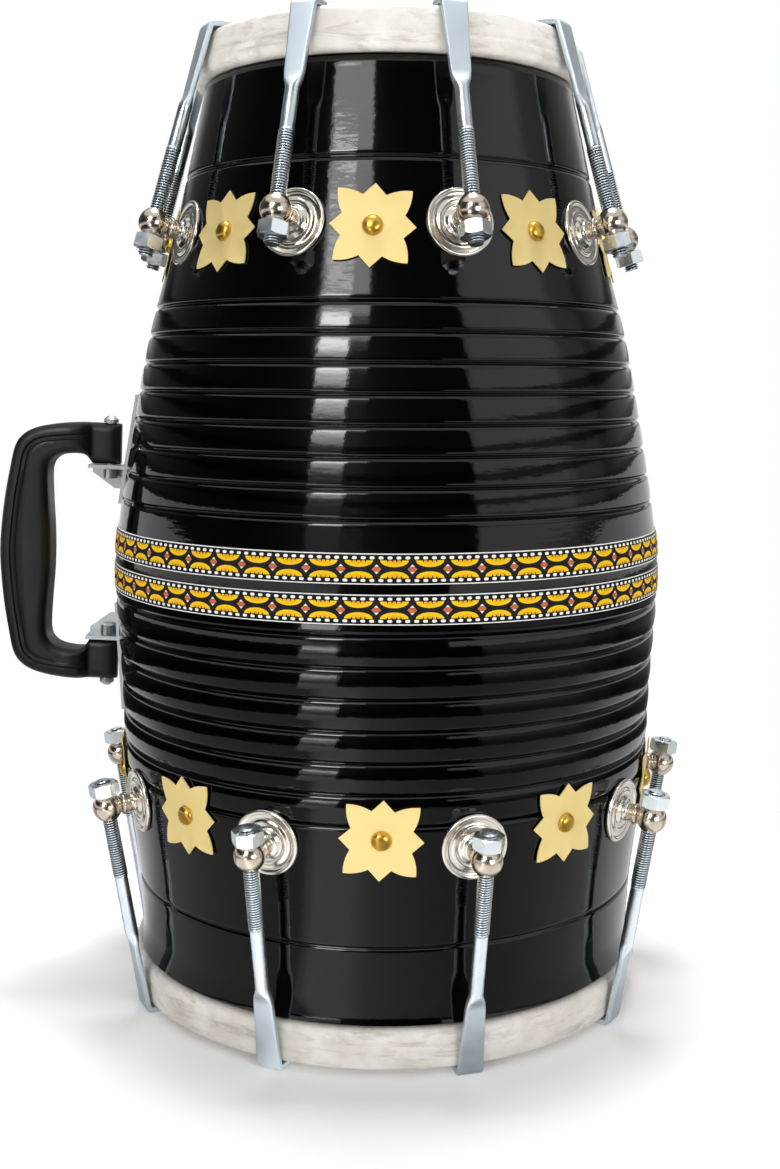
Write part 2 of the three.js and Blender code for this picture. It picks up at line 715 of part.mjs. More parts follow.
// A group whose X points away from the drum's axis at the given angle
function facing(angleDegrees, distance, height) {
  const angle = THREE.MathUtils.degToRad(angleDegrees);
  const group = new THREE.Group();
  group.rotation.z = angle - Math.PI / 2;
  group.position.set(Math.sin(angle) * distance, -Math.cos(angle) * distance, height);
  return group;
}

for (const end of [TREBLE_END, BASS_END]) {
  const { ballRadius, ballHeight, rodTilt } = studFrames[end.name];
  dholak.add(named(end.name + "_head", headGeometry(end), goatskin));
  const stud = studGeometry(end);
  const hookBolt = hookBoltGeometry(end);
  const nut = nutGeometry();
  nut.rotateY(-rodTilt);
  for (let i = 0; i < STUDS_PER_HEAD; i++) {
    const place = facing(FIRST_STUD_ANGLE + (360 / STUDS_PER_HEAD) * i, ballRadius, ballHeight);
    const headward = new THREE.Group();
    headward.rotation.x = end.up > 0 ? 0 : Math.PI;
    headward.add(named(`${end.name}_stud_${i + 1}`, stud, nickelPlate));
    headward.add(named(`${end.name}_hook_bolt_${i + 1}`, hookBolt, zincPlate));
    headward.add(named(`${end.name}_nut_${i + 1}`, nut, zincPlate));
    place.add(headward);
    dholak.add(place);
  }
}

const handlePlace = facing(HANDLE_ANGLE, pivotDistance, WAIST_HEIGHT);
const handleFrame = new THREE.Group();
handleFrame.rotation.y = -handleLean;
handleFrame.add(named("carry_handle", handleGeometry(), handlePlastic));
handleFrame.add(named("upper_bracket", bracketGeometry(1), bracketSteel));
handleFrame.add(named("lower_bracket", bracketGeometry(-1), bracketSteel));
handlePlace.add(handleFrame);
dholak.add(handlePlace);

export default dholak;
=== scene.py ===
# %% [markdown]
# # A dholak, dressed over its CAD frame
#
# A dholak is a barrel drum with a skin at each end. This one is tuned by hook bolts: each bolt
# hooks over a hoop, runs through a ball on the shell and ends in a nut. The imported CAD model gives
# every place and size. The cells below put the real surfaces on it, one kind of piece at a time:
# first the camera and the studio, then the turned shell, the skins, the metal fittings, the brass
# trim, the woven tapes, and the carry handle with its brackets.

# %% Load the frame
import json
import math

import bmesh
import bpy
from mathutils import Matrix, Vector, noise

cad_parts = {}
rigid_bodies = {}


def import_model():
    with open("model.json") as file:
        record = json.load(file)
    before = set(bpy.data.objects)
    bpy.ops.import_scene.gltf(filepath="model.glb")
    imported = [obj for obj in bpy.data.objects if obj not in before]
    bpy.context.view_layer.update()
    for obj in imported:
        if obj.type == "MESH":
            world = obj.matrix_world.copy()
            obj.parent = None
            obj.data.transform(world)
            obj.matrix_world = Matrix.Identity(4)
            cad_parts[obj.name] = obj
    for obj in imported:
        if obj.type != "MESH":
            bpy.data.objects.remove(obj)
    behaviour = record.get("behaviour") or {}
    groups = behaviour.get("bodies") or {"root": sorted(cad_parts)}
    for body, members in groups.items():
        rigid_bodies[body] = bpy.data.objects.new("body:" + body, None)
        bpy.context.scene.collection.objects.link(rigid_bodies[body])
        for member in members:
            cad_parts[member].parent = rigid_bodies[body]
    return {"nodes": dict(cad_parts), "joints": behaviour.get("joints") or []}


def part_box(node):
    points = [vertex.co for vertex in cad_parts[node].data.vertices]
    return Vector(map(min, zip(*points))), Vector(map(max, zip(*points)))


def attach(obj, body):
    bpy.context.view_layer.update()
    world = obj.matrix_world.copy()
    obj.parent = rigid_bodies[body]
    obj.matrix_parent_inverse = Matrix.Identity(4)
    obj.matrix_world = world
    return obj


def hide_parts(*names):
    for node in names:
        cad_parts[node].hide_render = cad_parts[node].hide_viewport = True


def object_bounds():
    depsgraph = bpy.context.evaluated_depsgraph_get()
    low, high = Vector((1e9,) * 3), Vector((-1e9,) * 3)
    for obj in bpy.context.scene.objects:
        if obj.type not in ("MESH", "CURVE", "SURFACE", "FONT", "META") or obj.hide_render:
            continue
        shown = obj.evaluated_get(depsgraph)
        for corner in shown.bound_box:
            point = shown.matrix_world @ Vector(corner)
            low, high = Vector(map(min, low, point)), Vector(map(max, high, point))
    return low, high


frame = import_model()
cad_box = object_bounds()
nodes = frame["nodes"]
joints = {joint["name"]: joint for joint in frame["joints"]}
MM = 0.001
print("loaded", len(nodes), "solids and", len(joints), "joints; box", cad_box)

# %% [markdown]
# ## Tools for meshes
#
# Nearly every piece here is a row of rings: a turned barrel is circles of changing radius, a screw
# thread is rings whose radius runs round in a helix, and a forged strap is rounded rectangles
# along a bent line. One function that lays faces over a row of rings therefore builds almost
# everything, and keeps the meshes as clean quads. The pieces are measured in millimetres, as at
# the bench, and become metres in the mesh.

# %% Rings and skins
def ring(radius, height, steps):
    turns = [2 * math.pi * i / steps for i in range(steps)]
    return [Vector((radius * math.cos(a), radius * math.sin(a), height)) for a in turns]


def skin(rings, looped=False):
    """Points and faces over a row of rings. A looped row joins its last ring to its first."""
    count = len(rings[0])
    faces = []
    for row in range(len(rings) if looped else len(rings) - 1):
        low, high = row * count, (row + 1) % len(rings) * count
        for i in range(count):
            k = (i + 1) % count
            faces.append((low + i, low + k, high + k, high + i))
    if not looped:
        faces.append(tuple(reversed(range(count))))
        faces.append(tuple(range((len(rings) - 1) * count, len(rings) * count)))
    return [point for one in rings for point in one], faces


def turned(profile, steps, looped=False):
    """A profile of (radius, height) turned about Z."""
    return skin([ring(radius, height, steps) for radius, height in profile], looped)


def together(*parts):
    """Several forms as one, with the points of each counted on from the last."""
    points, faces = [], []
    for more_points, more_faces in parts:
        faces += [tuple(i + len(points) for i in face) for face in more_faces]
        points += more_points
    return points, faces


# %% [markdown]
# A mesh is made from the points and faces, then put into the scene as a piece. Edges that turn by
# more than a given angle stay crisp, and all others are shaded round. A piece rides on one body of
# the CAD model, so that it moves with it, and may stand for solids that it hides.

# %% Meshes and pieces
SAME_PLACE = 1e-6


def mesh_of(name, part, finish, sharp):
    """A mesh from points in millimetres. Edges steeper than the sharp angle stay crisp."""
    points, faces = part
    data = bpy.data.meshes.new(name)
    data.from_pydata([tuple(p * MM) for p in points], [], faces)
    work = bmesh.new()
    work.from_mesh(data)
    bmesh.ops.remove_doubles(work, verts=work.verts, dist=SAME_PLACE)
    bmesh.ops.recalc_face_normals(work, faces=work.faces)
    work.to_mesh(data)
    work.free()
    data.polygons.foreach_set("use_smooth", [True] * len(data.polygons))
    data.set_sharp_from_angle(angle=math.radians(sharp))
    data.materials.append(finish)
    return data


def put(name, data, body, stands_for=(), matrix=None):
    """An object of a mesh, riding on a body and standing for the CAD nodes that it covers."""
    made = bpy.data.objects.new(name, data)
    bpy.context.scene.collection.objects.link(made)
    if matrix is not None:
        made.matrix_world = matrix
    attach(made, body)
    if stands_for:
        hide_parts(*stands_for)
    return made


# %% [markdown]
# ## Tools for materials
#
# A colour picked from a swatch is an sRGB value, but shaders add light, so they need it linear. One
# function does that change. Another adds one shader node, sets its options and joins its inputs:
# an input is given a number, a colour or another node's output.
#
# Inputs are called by name, or by number where that is plainer. A Math node takes its values at 0
# and 1. A Map Range takes a value at 0 and carries what lies between 1 and 2 to between 3 and 4. A
# colour Mix takes its share at 0 and its colours at 6 and 7, and gives its colour at output 2. A
# Mix Shader takes its share at 0 and its shaders at 1 and 2.

# %% Colour and node helpers
def hex_colour(code):
    parts = [int(code[i : i + 2], 16) / 255 for i in (1, 3, 5)]
    linear = [c / 12.92 if c <= 0.04045 else ((c + 0.055) / 1.055) ** 2.4 for c in parts]
    return (*linear, 1.0)


def add(material, kind, inputs=None, **settings):
    made = material.node_tree.nodes.new("ShaderNode" + kind)
    for setting, value in settings.items():
        setattr(made, setting, value)
    for socket, value in (inputs or {}).items():
        if isinstance(value, bpy.types.NodeSocket):
            material.node_tree.links.new(value, made.inputs[socket])
        else:
            made.inputs[socket].default_value = value
    return made


def new_material(name):
    made = bpy.data.materials.new(name)
    made.use_nodes = True
    made.node_tree.nodes.clear()
    return made


# %% [markdown]
# ## Camera
#
# The drum was photographed from about three quarters of a metre, a little above its waist and
# looking down by eight degrees, so the barrel narrows upward and the foot shows as an ellipse. A
# lens this close has to be placed exactly, or none of the hooks line up. The numbers were fitted
# to the hoops, the grooves and the studs: a lens in millimetres for a frame 36 mm tall, a place in
# millimetres and three small turns in degrees.

# %% Camera
FRAME_TALL = 36
LENS = 43.88
CAMERA_PLACE = (-0.25, -758.96, 319.81)
LOOKS_DOWN = 8.1916
LOOKS_RIGHT = -0.166
ROLLED = 0.3246
SEES_AS_FAR_AS = 50
camera_data = bpy.data.cameras.new("camera")
camera = bpy.data.objects.new("camera", camera_data)
bpy.context.scene.collection.objects.link(camera)
bpy.context.scene.camera = camera
camera_data.sensor_fit = "VERTICAL"
camera_data.sensor_height = FRAME_TALL
camera_data.lens = LENS
camera_data.clip_end = SEES_AS_FAR_AS
camera.matrix_world = (
    Matrix.Translation([c * MM for c in CAMERA_PLACE])
    @ Matrix.Rotation(math.radians(LOOKS_RIGHT), 4, "Z")
    @ Matrix.Rotation(math.radians(90 - LOOKS_DOWN), 4, "X")
    @ Matrix.Rotation(math.radians(ROLLED), 4, "Z")
)
print("camera at", [round(v, 3) for v in camera.matrix_world.translation])

# %% [markdown]
# ## Floor and world
#
# The drum stands on a white paper sweep. Near the drum the camera sees matt paper with a faint
# glow of its own, which takes the drum's shadow, and further out plain white. So the background is
# white without more light on the drum. Reflections see paper at half its white. The world does the
# same: the camera and the reflections see white, and the drum is lit by less.

# %% Floor
PAPER = "#F4F3F1"
FLOOR_LIFT = 0.04
WHITE = (1, 1, 1, 1)
SHADOW_REACH = 0.19
WHITE_FROM = 0.42
MIRRORED_PAPER = 0.5
FLOOR_REACH = 12
floor_height = cad_box[0][2]
floor_paper = new_material("white_paper_sweep")
rays = add(floor_paper, "LightPath")
mirrored = add(
    floor_paper,
    "Math",
    {0: rays.outputs["Is Glossy Ray"], 1: rays.outputs["Is Transmission Ray"]},
    operation="MAXIMUM",
)
matt = add(floor_paper, "BsdfDiffuse", {"Color": hex_colour(PAPER), "Roughness": 1.0})
bright_matt = add(floor_paper, "BsdfDiffuse", {"Color": WHITE, "Roughness": 1.0})
faint_white = add(floor_paper, "Emission", {"Color": WHITE, "Strength": FLOOR_LIFT})
near_floor = add(floor_paper, "AddShader", {0: bright_matt.outputs[0], 1: faint_white.outputs[0]})
full_white = add(floor_paper, "Emission", {"Color": WHITE, "Strength": 1.0})
floor_at = add(floor_paper, "TexCoord")
from_drum = add(floor_paper, "VectorMath", {0: floor_at.outputs["Object"]}, operation="LENGTH")
far_share = add(
    floor_paper,
    "MapRange",
    {0: from_drum.outputs["Value"], 1: SHADOW_REACH, 2: WHITE_FROM, 3: 0.0, 4: 1.0},
    interpolation_type="SMOOTHSTEP",
)
lifted = add(
    floor_paper,
    "MixShader",
    {0: far_share.outputs[0], 1: near_floor.outputs[0], 2: full_white.outputs[0]},
)
own_white = add(floor_paper, "Emission", {"Color": WHITE, "Strength": MIRRORED_PAPER})
seen = add(
    floor_paper,
    "MixShader",
    {0: rays.outputs["Is Camera Ray"], 1: matt.outputs[0], 2: lifted.outputs[0]},
)
floor_mix = add(
    floor_paper,
    "MixShader",
    {0: mirrored.outputs[0], 1: seen.outputs[0], 2: own_white.outputs[0]},
)
add(floor_paper, "OutputMaterial", {"Surface": floor_mix.outputs[0]})
floor_data = bpy.data.meshes.new("floor")
corners = [(x * FLOOR_REACH, y * FLOOR_REACH) for x, y in ((-1, -1), (1, -1), (1, 1), (-1, 1))]
floor_data.from_pydata([(x, y, floor_height) for x, y in corners], [], [(0, 1, 2, 3)])
floor_data.materials.append(floor_paper)
floor = bpy.data.objects.new("floor", floor_data)
bpy.context.scene.collection.objects.link(floor)
print("floor at", round(floor_height, 4), "m")

# %% World
SKY_LIGHT = 0.4
world = bpy.data.worlds.new("studio")
bpy.context.scene.world = world
world.use_nodes = True
world.node_tree.nodes.clear()
sky_rays = add(world, "LightPath")
sky_mirrored = add(
    world,
    "Math",
    {0: sky_rays.outputs["Is Glossy Ray"], 1: sky_rays.outputs["Is Transmission Ray"]},
    operation="MAXIMUM",
)
sky_seen = add(
    world,
    "Math",
    {0: sky_rays.outputs["Is Camera Ray"], 1: sky_mirrored.outputs[0]},
    operation="MAXIMUM",
)
soft_sky = add(world, "Background", {"Color": WHITE, "Strength": SKY_LIGHT})
white_sky = add(world, "Background", {"Color": WHITE, "Strength": 1.0})
sky = add(
    world,
    "MixShader",
    {0: sky_seen.outputs[0], 1: soft_sky.outputs[0], 2: white_sky.outputs[0]},
)
add(world, "OutputWorld", {"Surface": sky.outputs[0]})
bpy.context.scene.view_settings.view_transform = "Standard"
print("a white world that lights the drum at", SKY_LIGHT)

# %% [markdown]
# ## Lamps
#
# An overhead softbox behind the drum lights its skins and fittings, and two weaker ones in front
# open up the shadows from the right and the left. All are large, so their highlights are soft. The
# playing face lies square under the overhead one, which would turn it to plain white, so it gets a
# weaker lamp of its own in the same place.

# %% Lamps
WAIST = 0.24


def soft_lamp(name, azimuth, distance, height, width, tall, power, aim_height=WAIST):
    """A softbox that faces the drum. Azimuth 0 is the camera's side, and it grows to the right."""
    data = bpy.data.lights.new(name, "AREA")
    data.shape = "RECTANGLE"
    data.size = width
    data.size_y = tall
    data.energy = power
    lamp = bpy.data.objects.new(name, data)
    bpy.context.scene.collection.objects.link(lamp)
    turn = math.radians(azimuth)
    place = Vector((math.sin(turn) * distance, -math.cos(turn) * distance, height))
    aim = Vector((0, 0, aim_height)) - place
    facing = aim.to_track_quat("-Z", "Y").to_matrix().to_4x4()
    lamp.matrix_world = Matrix.Translation(place) @ facing
    return lamp


# From which azimuth, how far and how high in metres, how wide and tall, and how many watts.
overhead_softbox = soft_lamp("overhead_softbox", 180, 0.26, 2.0, 0.7, 0.6, 37, aim_height=0)
key_softbox = soft_lamp("key_softbox", 32, 2.0, 0.42, 1.1, 0.7, 10.5)
fill_softbox = soft_lamp("fill_softbox", -32, 2.2, 0.42, 1.1, 0.7, 10.5)
face_softbox = soft_lamp("face_softbox", 180, 0.26, 2.0, 0.7, 0.6, 12, aim_height=0)
print("four softboxes, the strongest of", overhead_softbox.data.energy, "W")

# %% [markdown]
# ## What the lacquer mirrors
#
# Black lacquer has no colour of its own to show: all the eye sees on it is the room. A studio sets
# black and white cards round such a drum. Here they are sheets turned round the drum's axis, seen
# by reflections only. How bright a sheet is goes with the direction, through a colour ramp, and
# with the height, through the sheet's own map, so two rows of numbers draw a whole room.

# %% Card finish and card sheet
def card_finish(name, azimuth_stops):
    """A glow that goes round with the azimuth, read along U, times a share, read along V."""
    made = new_material(name)
    split = add(made, "SeparateXYZ", {0: add(made, "TexCoord").outputs["UV"]})
    ramp = add(made, "ValToRGB", {0: split.outputs[0]})
    stops = ramp.color_ramp.elements
    while len(stops) < len(azimuth_stops):
        stops.new(1.0)
    for stop, (azimuth, share) in zip(stops, azimuth_stops):
        stop.position = (azimuth + 180) / 360
        stop.color = (share, share, share, 1)
    strength = add(made, "Math", {0: ramp.outputs[0], 1: split.outputs[1]}, operation="MULTIPLY")
    glow = add(made, "Emission", {"Color": WHITE, "Strength": strength.outputs[0]})
    add(made, "OutputMaterial", {"Surface": glow.outputs[0]})
    return made


def card_sheet(name, rows, from_azimuth, to_azimuth, steps, finish):
    """A sheet through rows of (radius, height, brightness) that only reflections see."""
    points, faces, maps = [], [], []
    for i in range(steps + 1):
        azimuth = from_azimuth + (to_azimuth - from_azimuth) * i / steps
        turn = math.radians(azimuth)
        for radius, height, share in rows:
            points.append((math.sin(turn) * radius, -math.cos(turn) * radius, height))
            maps.append(((azimuth + 180) / 360, share))
    count = len(rows)
    for i in range(steps):
        for k in range(count - 1):
            a = i * count + k
            faces.append((a, a + count, a + count + 1, a + 1))
    data = bpy.data.meshes.new(name)
    data.from_pydata(points, [], faces)
    layer = data.uv_layers.new(name="azimuth")
    for loop in data.loops:
        layer.data[loop.index].uv = maps[loop.vertex_index]
    data.materials.append(finish)
    sheet = bpy.data.objects.new(name, data)
    bpy.context.scene.collection.objects.link(sheet)
    for kind in ("camera", "diffuse", "transmission", "volume_scatter", "shadow"):
        setattr(sheet, "visible_" + kind, False)


# %% Cards and paper
# Each stop is an azimuth in degrees and how bright the room or the paper on the floor is there.
ROOM_STOPS = [
    (-180, 0.4), (-160, 0.7), (-148, 0.4), (-138, 0.14), (-110, 0.08), (-84, 0.03), (-60, 0.015),
    (-45, 0.04), (-34, 0.09), (-31, 0.12), (-13, 0.3), (-8, 0.12), (4, 0.05), (20, 0.03),
    (35.5, 0.02), (37, 0.9), (66, 0.92), (80, 0.85), (87, 0.42), (100, 0.3), (106, 0.14),
    (118, 0.25), (140, 0.4), (150, 0.9), (180, 0.7),
]
PAPER_STOPS = [
    (-180, 0.9), (-112, 0.85), (-95, 0.45), (-60, 0.35), (-28, 0.32), (-23, 0.95), (-12, 0.9),
    (-6, 0.55), (4, 0.42), (20, 0.29), (36, 0.32), (56, 0.42), (74, 0.5), (98, 0.85), (180, 0.9),
]
card_foot = floor_height + 0.001
ROOM_ROWS = [
    (0.6, card_foot, 0.5), (0.64, card_foot, 0.12), (0.8, card_foot, 0.12), (1.2, card_foot, 0.35),
    (2.2, card_foot, 0.3), (2.2, 0.45, 0.35), (2.2, 0.52, 0.9), (2.2, 0.66, 0.9), (2.2, 0.71, 0.2),
    (2.2, 0.82, 0.2), (2.2, 0.88, 1.0), (2.2, 1.75, 1.0), (2.2, 2.02, 0.6), (2.2, 2.3, 0.5),
]
PAPER_ROWS = [(0.1, card_foot, 1), (0.34, card_foot, 1), (0.5, card_foot, 1), (0.61, card_foot, 1)]
ROOM_STEPS = 180
cards = card_finish("black_and_white_cards", ROOM_STOPS)
card_sheet("cards", ROOM_ROWS, -180, 180, ROOM_STEPS, cards)
paper = card_finish("white_paper_in_reflections", PAPER_STOPS)
card_sheet("paper", PAPER_ROWS, -180, 180, ROOM_STEPS, paper)
print("cards with", len(ROOM_STOPS), "stops and", len(ROOM_ROWS), "rows")

# %% [markdown]
# ## The softboxes in the lacquer
#
# The long streaks down the barrel are a tall strip of lit cloth, a little left of the camera, and
# the glare on the upper shell is a wider one behind it. They are brighter than white and have no
# ramp: the rows alone say how bright they are. A pale ceiling and a low skirting close the room
# above and below the cards.

# %% Softboxes in reflections
softbox_foot = floor_height + 0.003
STRIP_ROWS = [
    (0.5, softbox_foot, 0.9), (0.62, softbox_foot, 1.2), (0.75, softbox_foot, 0.5),
    (1.0, softbox_foot, 2.5), (1.2, softbox_foot, 6), (1.6, softbox_foot, 4),
    (2.1, softbox_foot, 1), (2.1, 0.3, 0.3), (2.1, 0.6, 0.4), (2.1, 0.82, 0.7), (2.1, 0.93, 4),
    (2.1, 1.02, 6), (2.1, 1.15, 9), (2.1, 1.3, 17), (2.1, 1.48, 19), (2.1, 1.6, 9), (2.1, 1.66, 4),
    (2.1, 1.7, 5), (2.1, 1.74, 13), (2.1, 1.79, 4.2),
]
WIDE_ROWS = [
    (2.14, 1.2, 0.3), (2.14, 1.5, 1.2), (2.14, 1.62, 3.4), (2.14, 1.95, 4.2), (2.14, 2.28, 3.8)
]
CEILING_ROWS = [(2.2, 2.3, 0.8), (0.3, 2.5, 0.8)]
SKIRTING_ROWS = [(2.05, 0.02, 0.9), (2.05, 0.4, 0.9)]
softbox = new_material("softbox_cloth")
softbox_uv = add(softbox, "TexCoord")
softbox_split = add(softbox, "SeparateXYZ", {0: softbox_uv.outputs["UV"]})
softbox_glow = add(softbox, "Emission", {"Color": WHITE, "Strength": softbox_split.outputs[1]})
add(softbox, "OutputMaterial", {"Surface": softbox_glow.outputs[0]})
card_sheet("strip_softbox", STRIP_ROWS, -32, -18, 6, softbox)
card_sheet("wide_softbox", WIDE_ROWS, -34, -9, 6, softbox)
card_sheet("ceiling", CEILING_ROWS, -180, 180, 60, softbox)
card_sheet("skirting", SKIRTING_ROWS, 24, 332, 60, softbox)
print("a strip of", len(STRIP_ROWS), "rows and a wide one of", len(WIDE_ROWS))

# %% [markdown]
# ## Veils for the plated hardware
#
# Zinc and nickel would mirror the same dark cards as the lacquer and come out grey. A veil is a
# clear sheet that adds its own glow to what lies behind it. Light linking, further down, shows the
# two veils to the hardware and the lower stars alone, so these mirror bright paper while the
# lacquer beside them stays black.

# %% Veils
veil_foot = softbox_foot + 0.002
VEIL_ROWS = {
    "floor_veil": [(0.17, veil_foot, 0.75), (0.5, veil_foot, 0.6), (1.2, veil_foot, 0.4)],
    "room_veil": [(2.0, 0.3, 0.4), (2.0, 0.5, 0.6), (2.0, 1.0, 0.6)],
}
veil = new_material("veil_of_light")
veil_split = add(veil, "SeparateXYZ", {0: add(veil, "TexCoord").outputs["UV"]})
veil_glow = add(veil, "Emission", {"Color": WHITE, "Strength": veil_split.outputs[1]})
clear = add(veil, "BsdfTransparent", {"Color": WHITE})
veil_sum = add(veil, "AddShader", {0: clear.outputs[0], 1: veil_glow.outputs[0]})
add(veil, "OutputMaterial", {"Surface": veil_sum.outputs[0]})
for name, rows in VEIL_ROWS.items():
    card_sheet(name, rows, -75, 75, 40, veil)
print(len(VEIL_ROWS), "veils of light")

# %% [markdown]
# ## Black lacquer on turned wood
#
# The shell is turned from one log and sprayed with black nitrocellulose lacquer, then buffed. What
# gives it away is how straight lines in the room waver in it: the lathe's tool marks run round the
# barrel under the film, and the film itself has a slight orange peel. So the colour is nearly
# nothing, the index of refraction is a lacquer's 1.5, and all the work is in two layers of bump:
# long low marks that run round, and a finer dimple. Real orange peel is 1 to 2 mm across, which
# the render can't show, so it is drawn at 3.6 mm.

# %% Lacquer
lacquer = new_material("nitrocellulose_lacquer_buffed")
lacquer_at = add(lacquer, "TexCoord")
MARK_LENGTH = 9 * MM
MARK_HEIGHT = 2.4 * MM
marks_at = add(
    lacquer,
    "Mapping",
    {
        "Vector": lacquer_at.outputs["Object"],
        "Scale": (1 / MARK_LENGTH, 1 / MARK_LENGTH, 1 / MARK_HEIGHT),
    },
)
marks = add(
    lacquer,
    "TexNoise",
    {"Vector": marks_at.outputs[0], "Scale": 1.0, "Detail": 1.5, "Roughness": 0.5},
)
PEEL_SIZE = 3.6 * MM
peel = add(
    lacquer,
    "TexNoise",
    {"Vector": lacquer_at.outputs["Object"], "Scale": 1 / PEEL_SIZE, "Detail": 2.0},
)
mark_bump = add(
    lacquer, "Bump", {"Height": marks.outputs[0], "Strength": 1.0, "Distance": 0.03 * MM}
)
peel_bump = add(
    lacquer,
    "Bump",
    {
        "Height": peel.outputs[0],
        "Strength": 1.0,
        "Distance": 0.028 * MM,
        "Normal": mark_bump.outputs[0],
    },
)
SMEAR_SIZE = 60 * MM
smears = add(
    lacquer,
    "TexNoise",
    {"Vector": lacquer_at.outputs["Object"], "Scale": 1 / SMEAR_SIZE, "Detail": 4.0},
)
gloss = add(lacquer, "MapRange", {0: smears.outputs[0], 1: 0.35, 2: 0.7, 3: 0.05, 4: 0.085})
film = add(
    lacquer,
    "BsdfPrincipled",
    {
        "Base Color": hex_colour("#030304"),
        "Roughness": gloss.outputs[0],
        "IOR": 1.5,
        "Normal": peel_bump.outputs[0],
    },
)
add(lacquer, "OutputMaterial", {"Surface": film.outputs[0]})
print("lacquer with marks", MARK_LENGTH / MM, "mm long and peel", PEEL_SIZE / MM, "mm across")

# %% [markdown]
# ## The shell
#
# The CAD shell is a barrel of 45 flats with a corner at each groove, which is right for its size
# but too coarse for a mirror finish. Its corners still hold the true outline, so the outline is
# read from them: the ones that sit deeper than the line between their neighbours are the grooves,
# and the rest give the wall. A weighted average along the height takes the corners out of the wall,
# and each groove is then cut again as a V with rounded lips, as a lacquered groove has. The lower
# bands between grooves are domed, which is why they smear the softbox into arcs.

# %% Read the wall and its grooves from the solid
# The bore's corners have well under their neighbours' radius. A corner that is deep enough, within
# the first range of heights, is a groove. Within the second, any other corner is the wall.
BORE_SHARE = 0.96
GROOVE_LEAST = 0.7
GROOVE_RANGE = (50, 430)
WALL_RANGE = (30, 462)
levels = {}
for vertex in nodes["shell"].data.vertices:
    height = round(vertex.co.z / MM, 2)
    levels[height] = max(levels.get(height, 0), math.hypot(vertex.co.x, vertex.co.y) / MM)
outline = sorted(levels.items())
outline = [
    one
    for before, one, after in zip(outline, outline[1:], outline[2:])
    if one[1] > BORE_SHARE * min(before[1], after[1])
]
grooves = []
wall_points = []
for before, one, after in zip(outline, outline[1:], outline[2:]):
    share = (one[0] - before[0]) / (after[0] - before[0])
    level = before[1] + (after[1] - before[1]) * share
    if level - one[1] > GROOVE_LEAST and GROOVE_RANGE[0] < one[0] < GROOVE_RANGE[1]:
        grooves.append(one[0])
    elif WALL_RANGE[0] < one[0] < WALL_RANGE[1]:
        wall_points.append(one)
print("grooves at", [round(height, 1) for height in grooves])


# %% The wall without its corners
SMOOTHING = 7
AROUND = 14
offsets = range(-AROUND, AROUND + 1, 2)
WEIGHTS = [(offset, math.exp(-((offset / SMOOTHING) ** 2))) for offset in offsets]


def wall_line(height):
    """The wall on the straight line between the corners below and above."""
    low = max([p for p in wall_points if p[0] <= height] or [wall_points[0]])
    high = min([p for p in wall_points if p[0] >= height] or [wall_points[-1]])
    share = 0 if high[0] == low[0] else (height - low[0]) / (high[0] - low[0])
    return low[1] + (high[1] - low[1]) * share


wall_low, wall_high = wall_points[0][0], wall_points[-1][0]


def wall_radius(height):
    """The wall without its grooves, averaged over the heights around, in millimetres."""
    reach = min(1, max(0, min(height - wall_low, wall_high - height) / AROUND))
    total = sum(weight * wall_line(height + offset * reach) for offset, weight in WEIGHTS)
    return total / sum(weight for _, weight in WEIGHTS)


print("wall from", wall_low, "to", wall_high, "mm, widest", round(wall_radius(220), 1), "mm")

# %% Grooves and domes
GROOVE_DEPTH = 1.15
GROOVE_HALF = 0.95
GROOVE_ROUND = 1.8
DOME_LOWER = 0.75
DOME_UPPER = 0.2
BANDED = (80, 400)
WIDEST_BAND = 20
TAPES_FOOT = 215
last_lower = [g for g in grooves if g < TAPES_FOOT][-1]
banded = [g for g in grooves if BANDED[0] < g < BANDED[1]]


def shell_radius(height):
    """The wall less the nearest groove, and less the fall of the dome towards the grooves."""
    nearest = min(grooves, key=lambda g: abs(g - height))
    cut = GROOVE_DEPTH * math.exp(-((abs(height - nearest) / GROOVE_HALF) ** GROOVE_ROUND))
    dome = 0
    for low, high in zip(banded, banded[1:]):
        if low <= height <= high and high - low < WIDEST_BAND:
            share = 2 * (height - low) / (high - low) - 1
            dome = (DOME_LOWER if high <= last_lower + 1 else DOME_UPPER) * share**2
    return wall_radius(height) - cut - dome


print("radius in the first groove", round(shell_radius(grooves[0]), 2), "mm")

# %% Turn the shell
# Rings stand close together at a groove's lips, at these distances from it, and evenly between.
GROOVE_STOPS = (0, 0.3, 0.6, 0.9, 1.3, 1.9, 2.6)
CLEAR_OF_GROOVE = 2.9
WALL_LEVELS = 144
SHELL_STEPS = 160
heights = {round(g + side * stop, 3) for g in grooves for stop in GROOVE_STOPS for side in (-1, 1)}
plain = [wall_low + (wall_high - wall_low) * i / WALL_LEVELS for i in range(WALL_LEVELS + 1)]
heights |= {h for h in plain if all(abs(h - g) > CLEAR_OF_GROOVE for g in grooves)}
outside = [(shell_radius(h), h) for h in sorted(heights)]
shell_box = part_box("shell")
top, foot = shell_box[1][2] / MM, shell_box[0][2] / MM
treble_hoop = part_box("treble_head")
bass_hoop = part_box("bass_head")
treble_crease, bass_crease = treble_hoop[0][2] / MM, bass_hoop[1][2] / MM
treble_radius, bass_radius = treble_hoop[1][0] / MM, bass_hoop[1][0] / MM
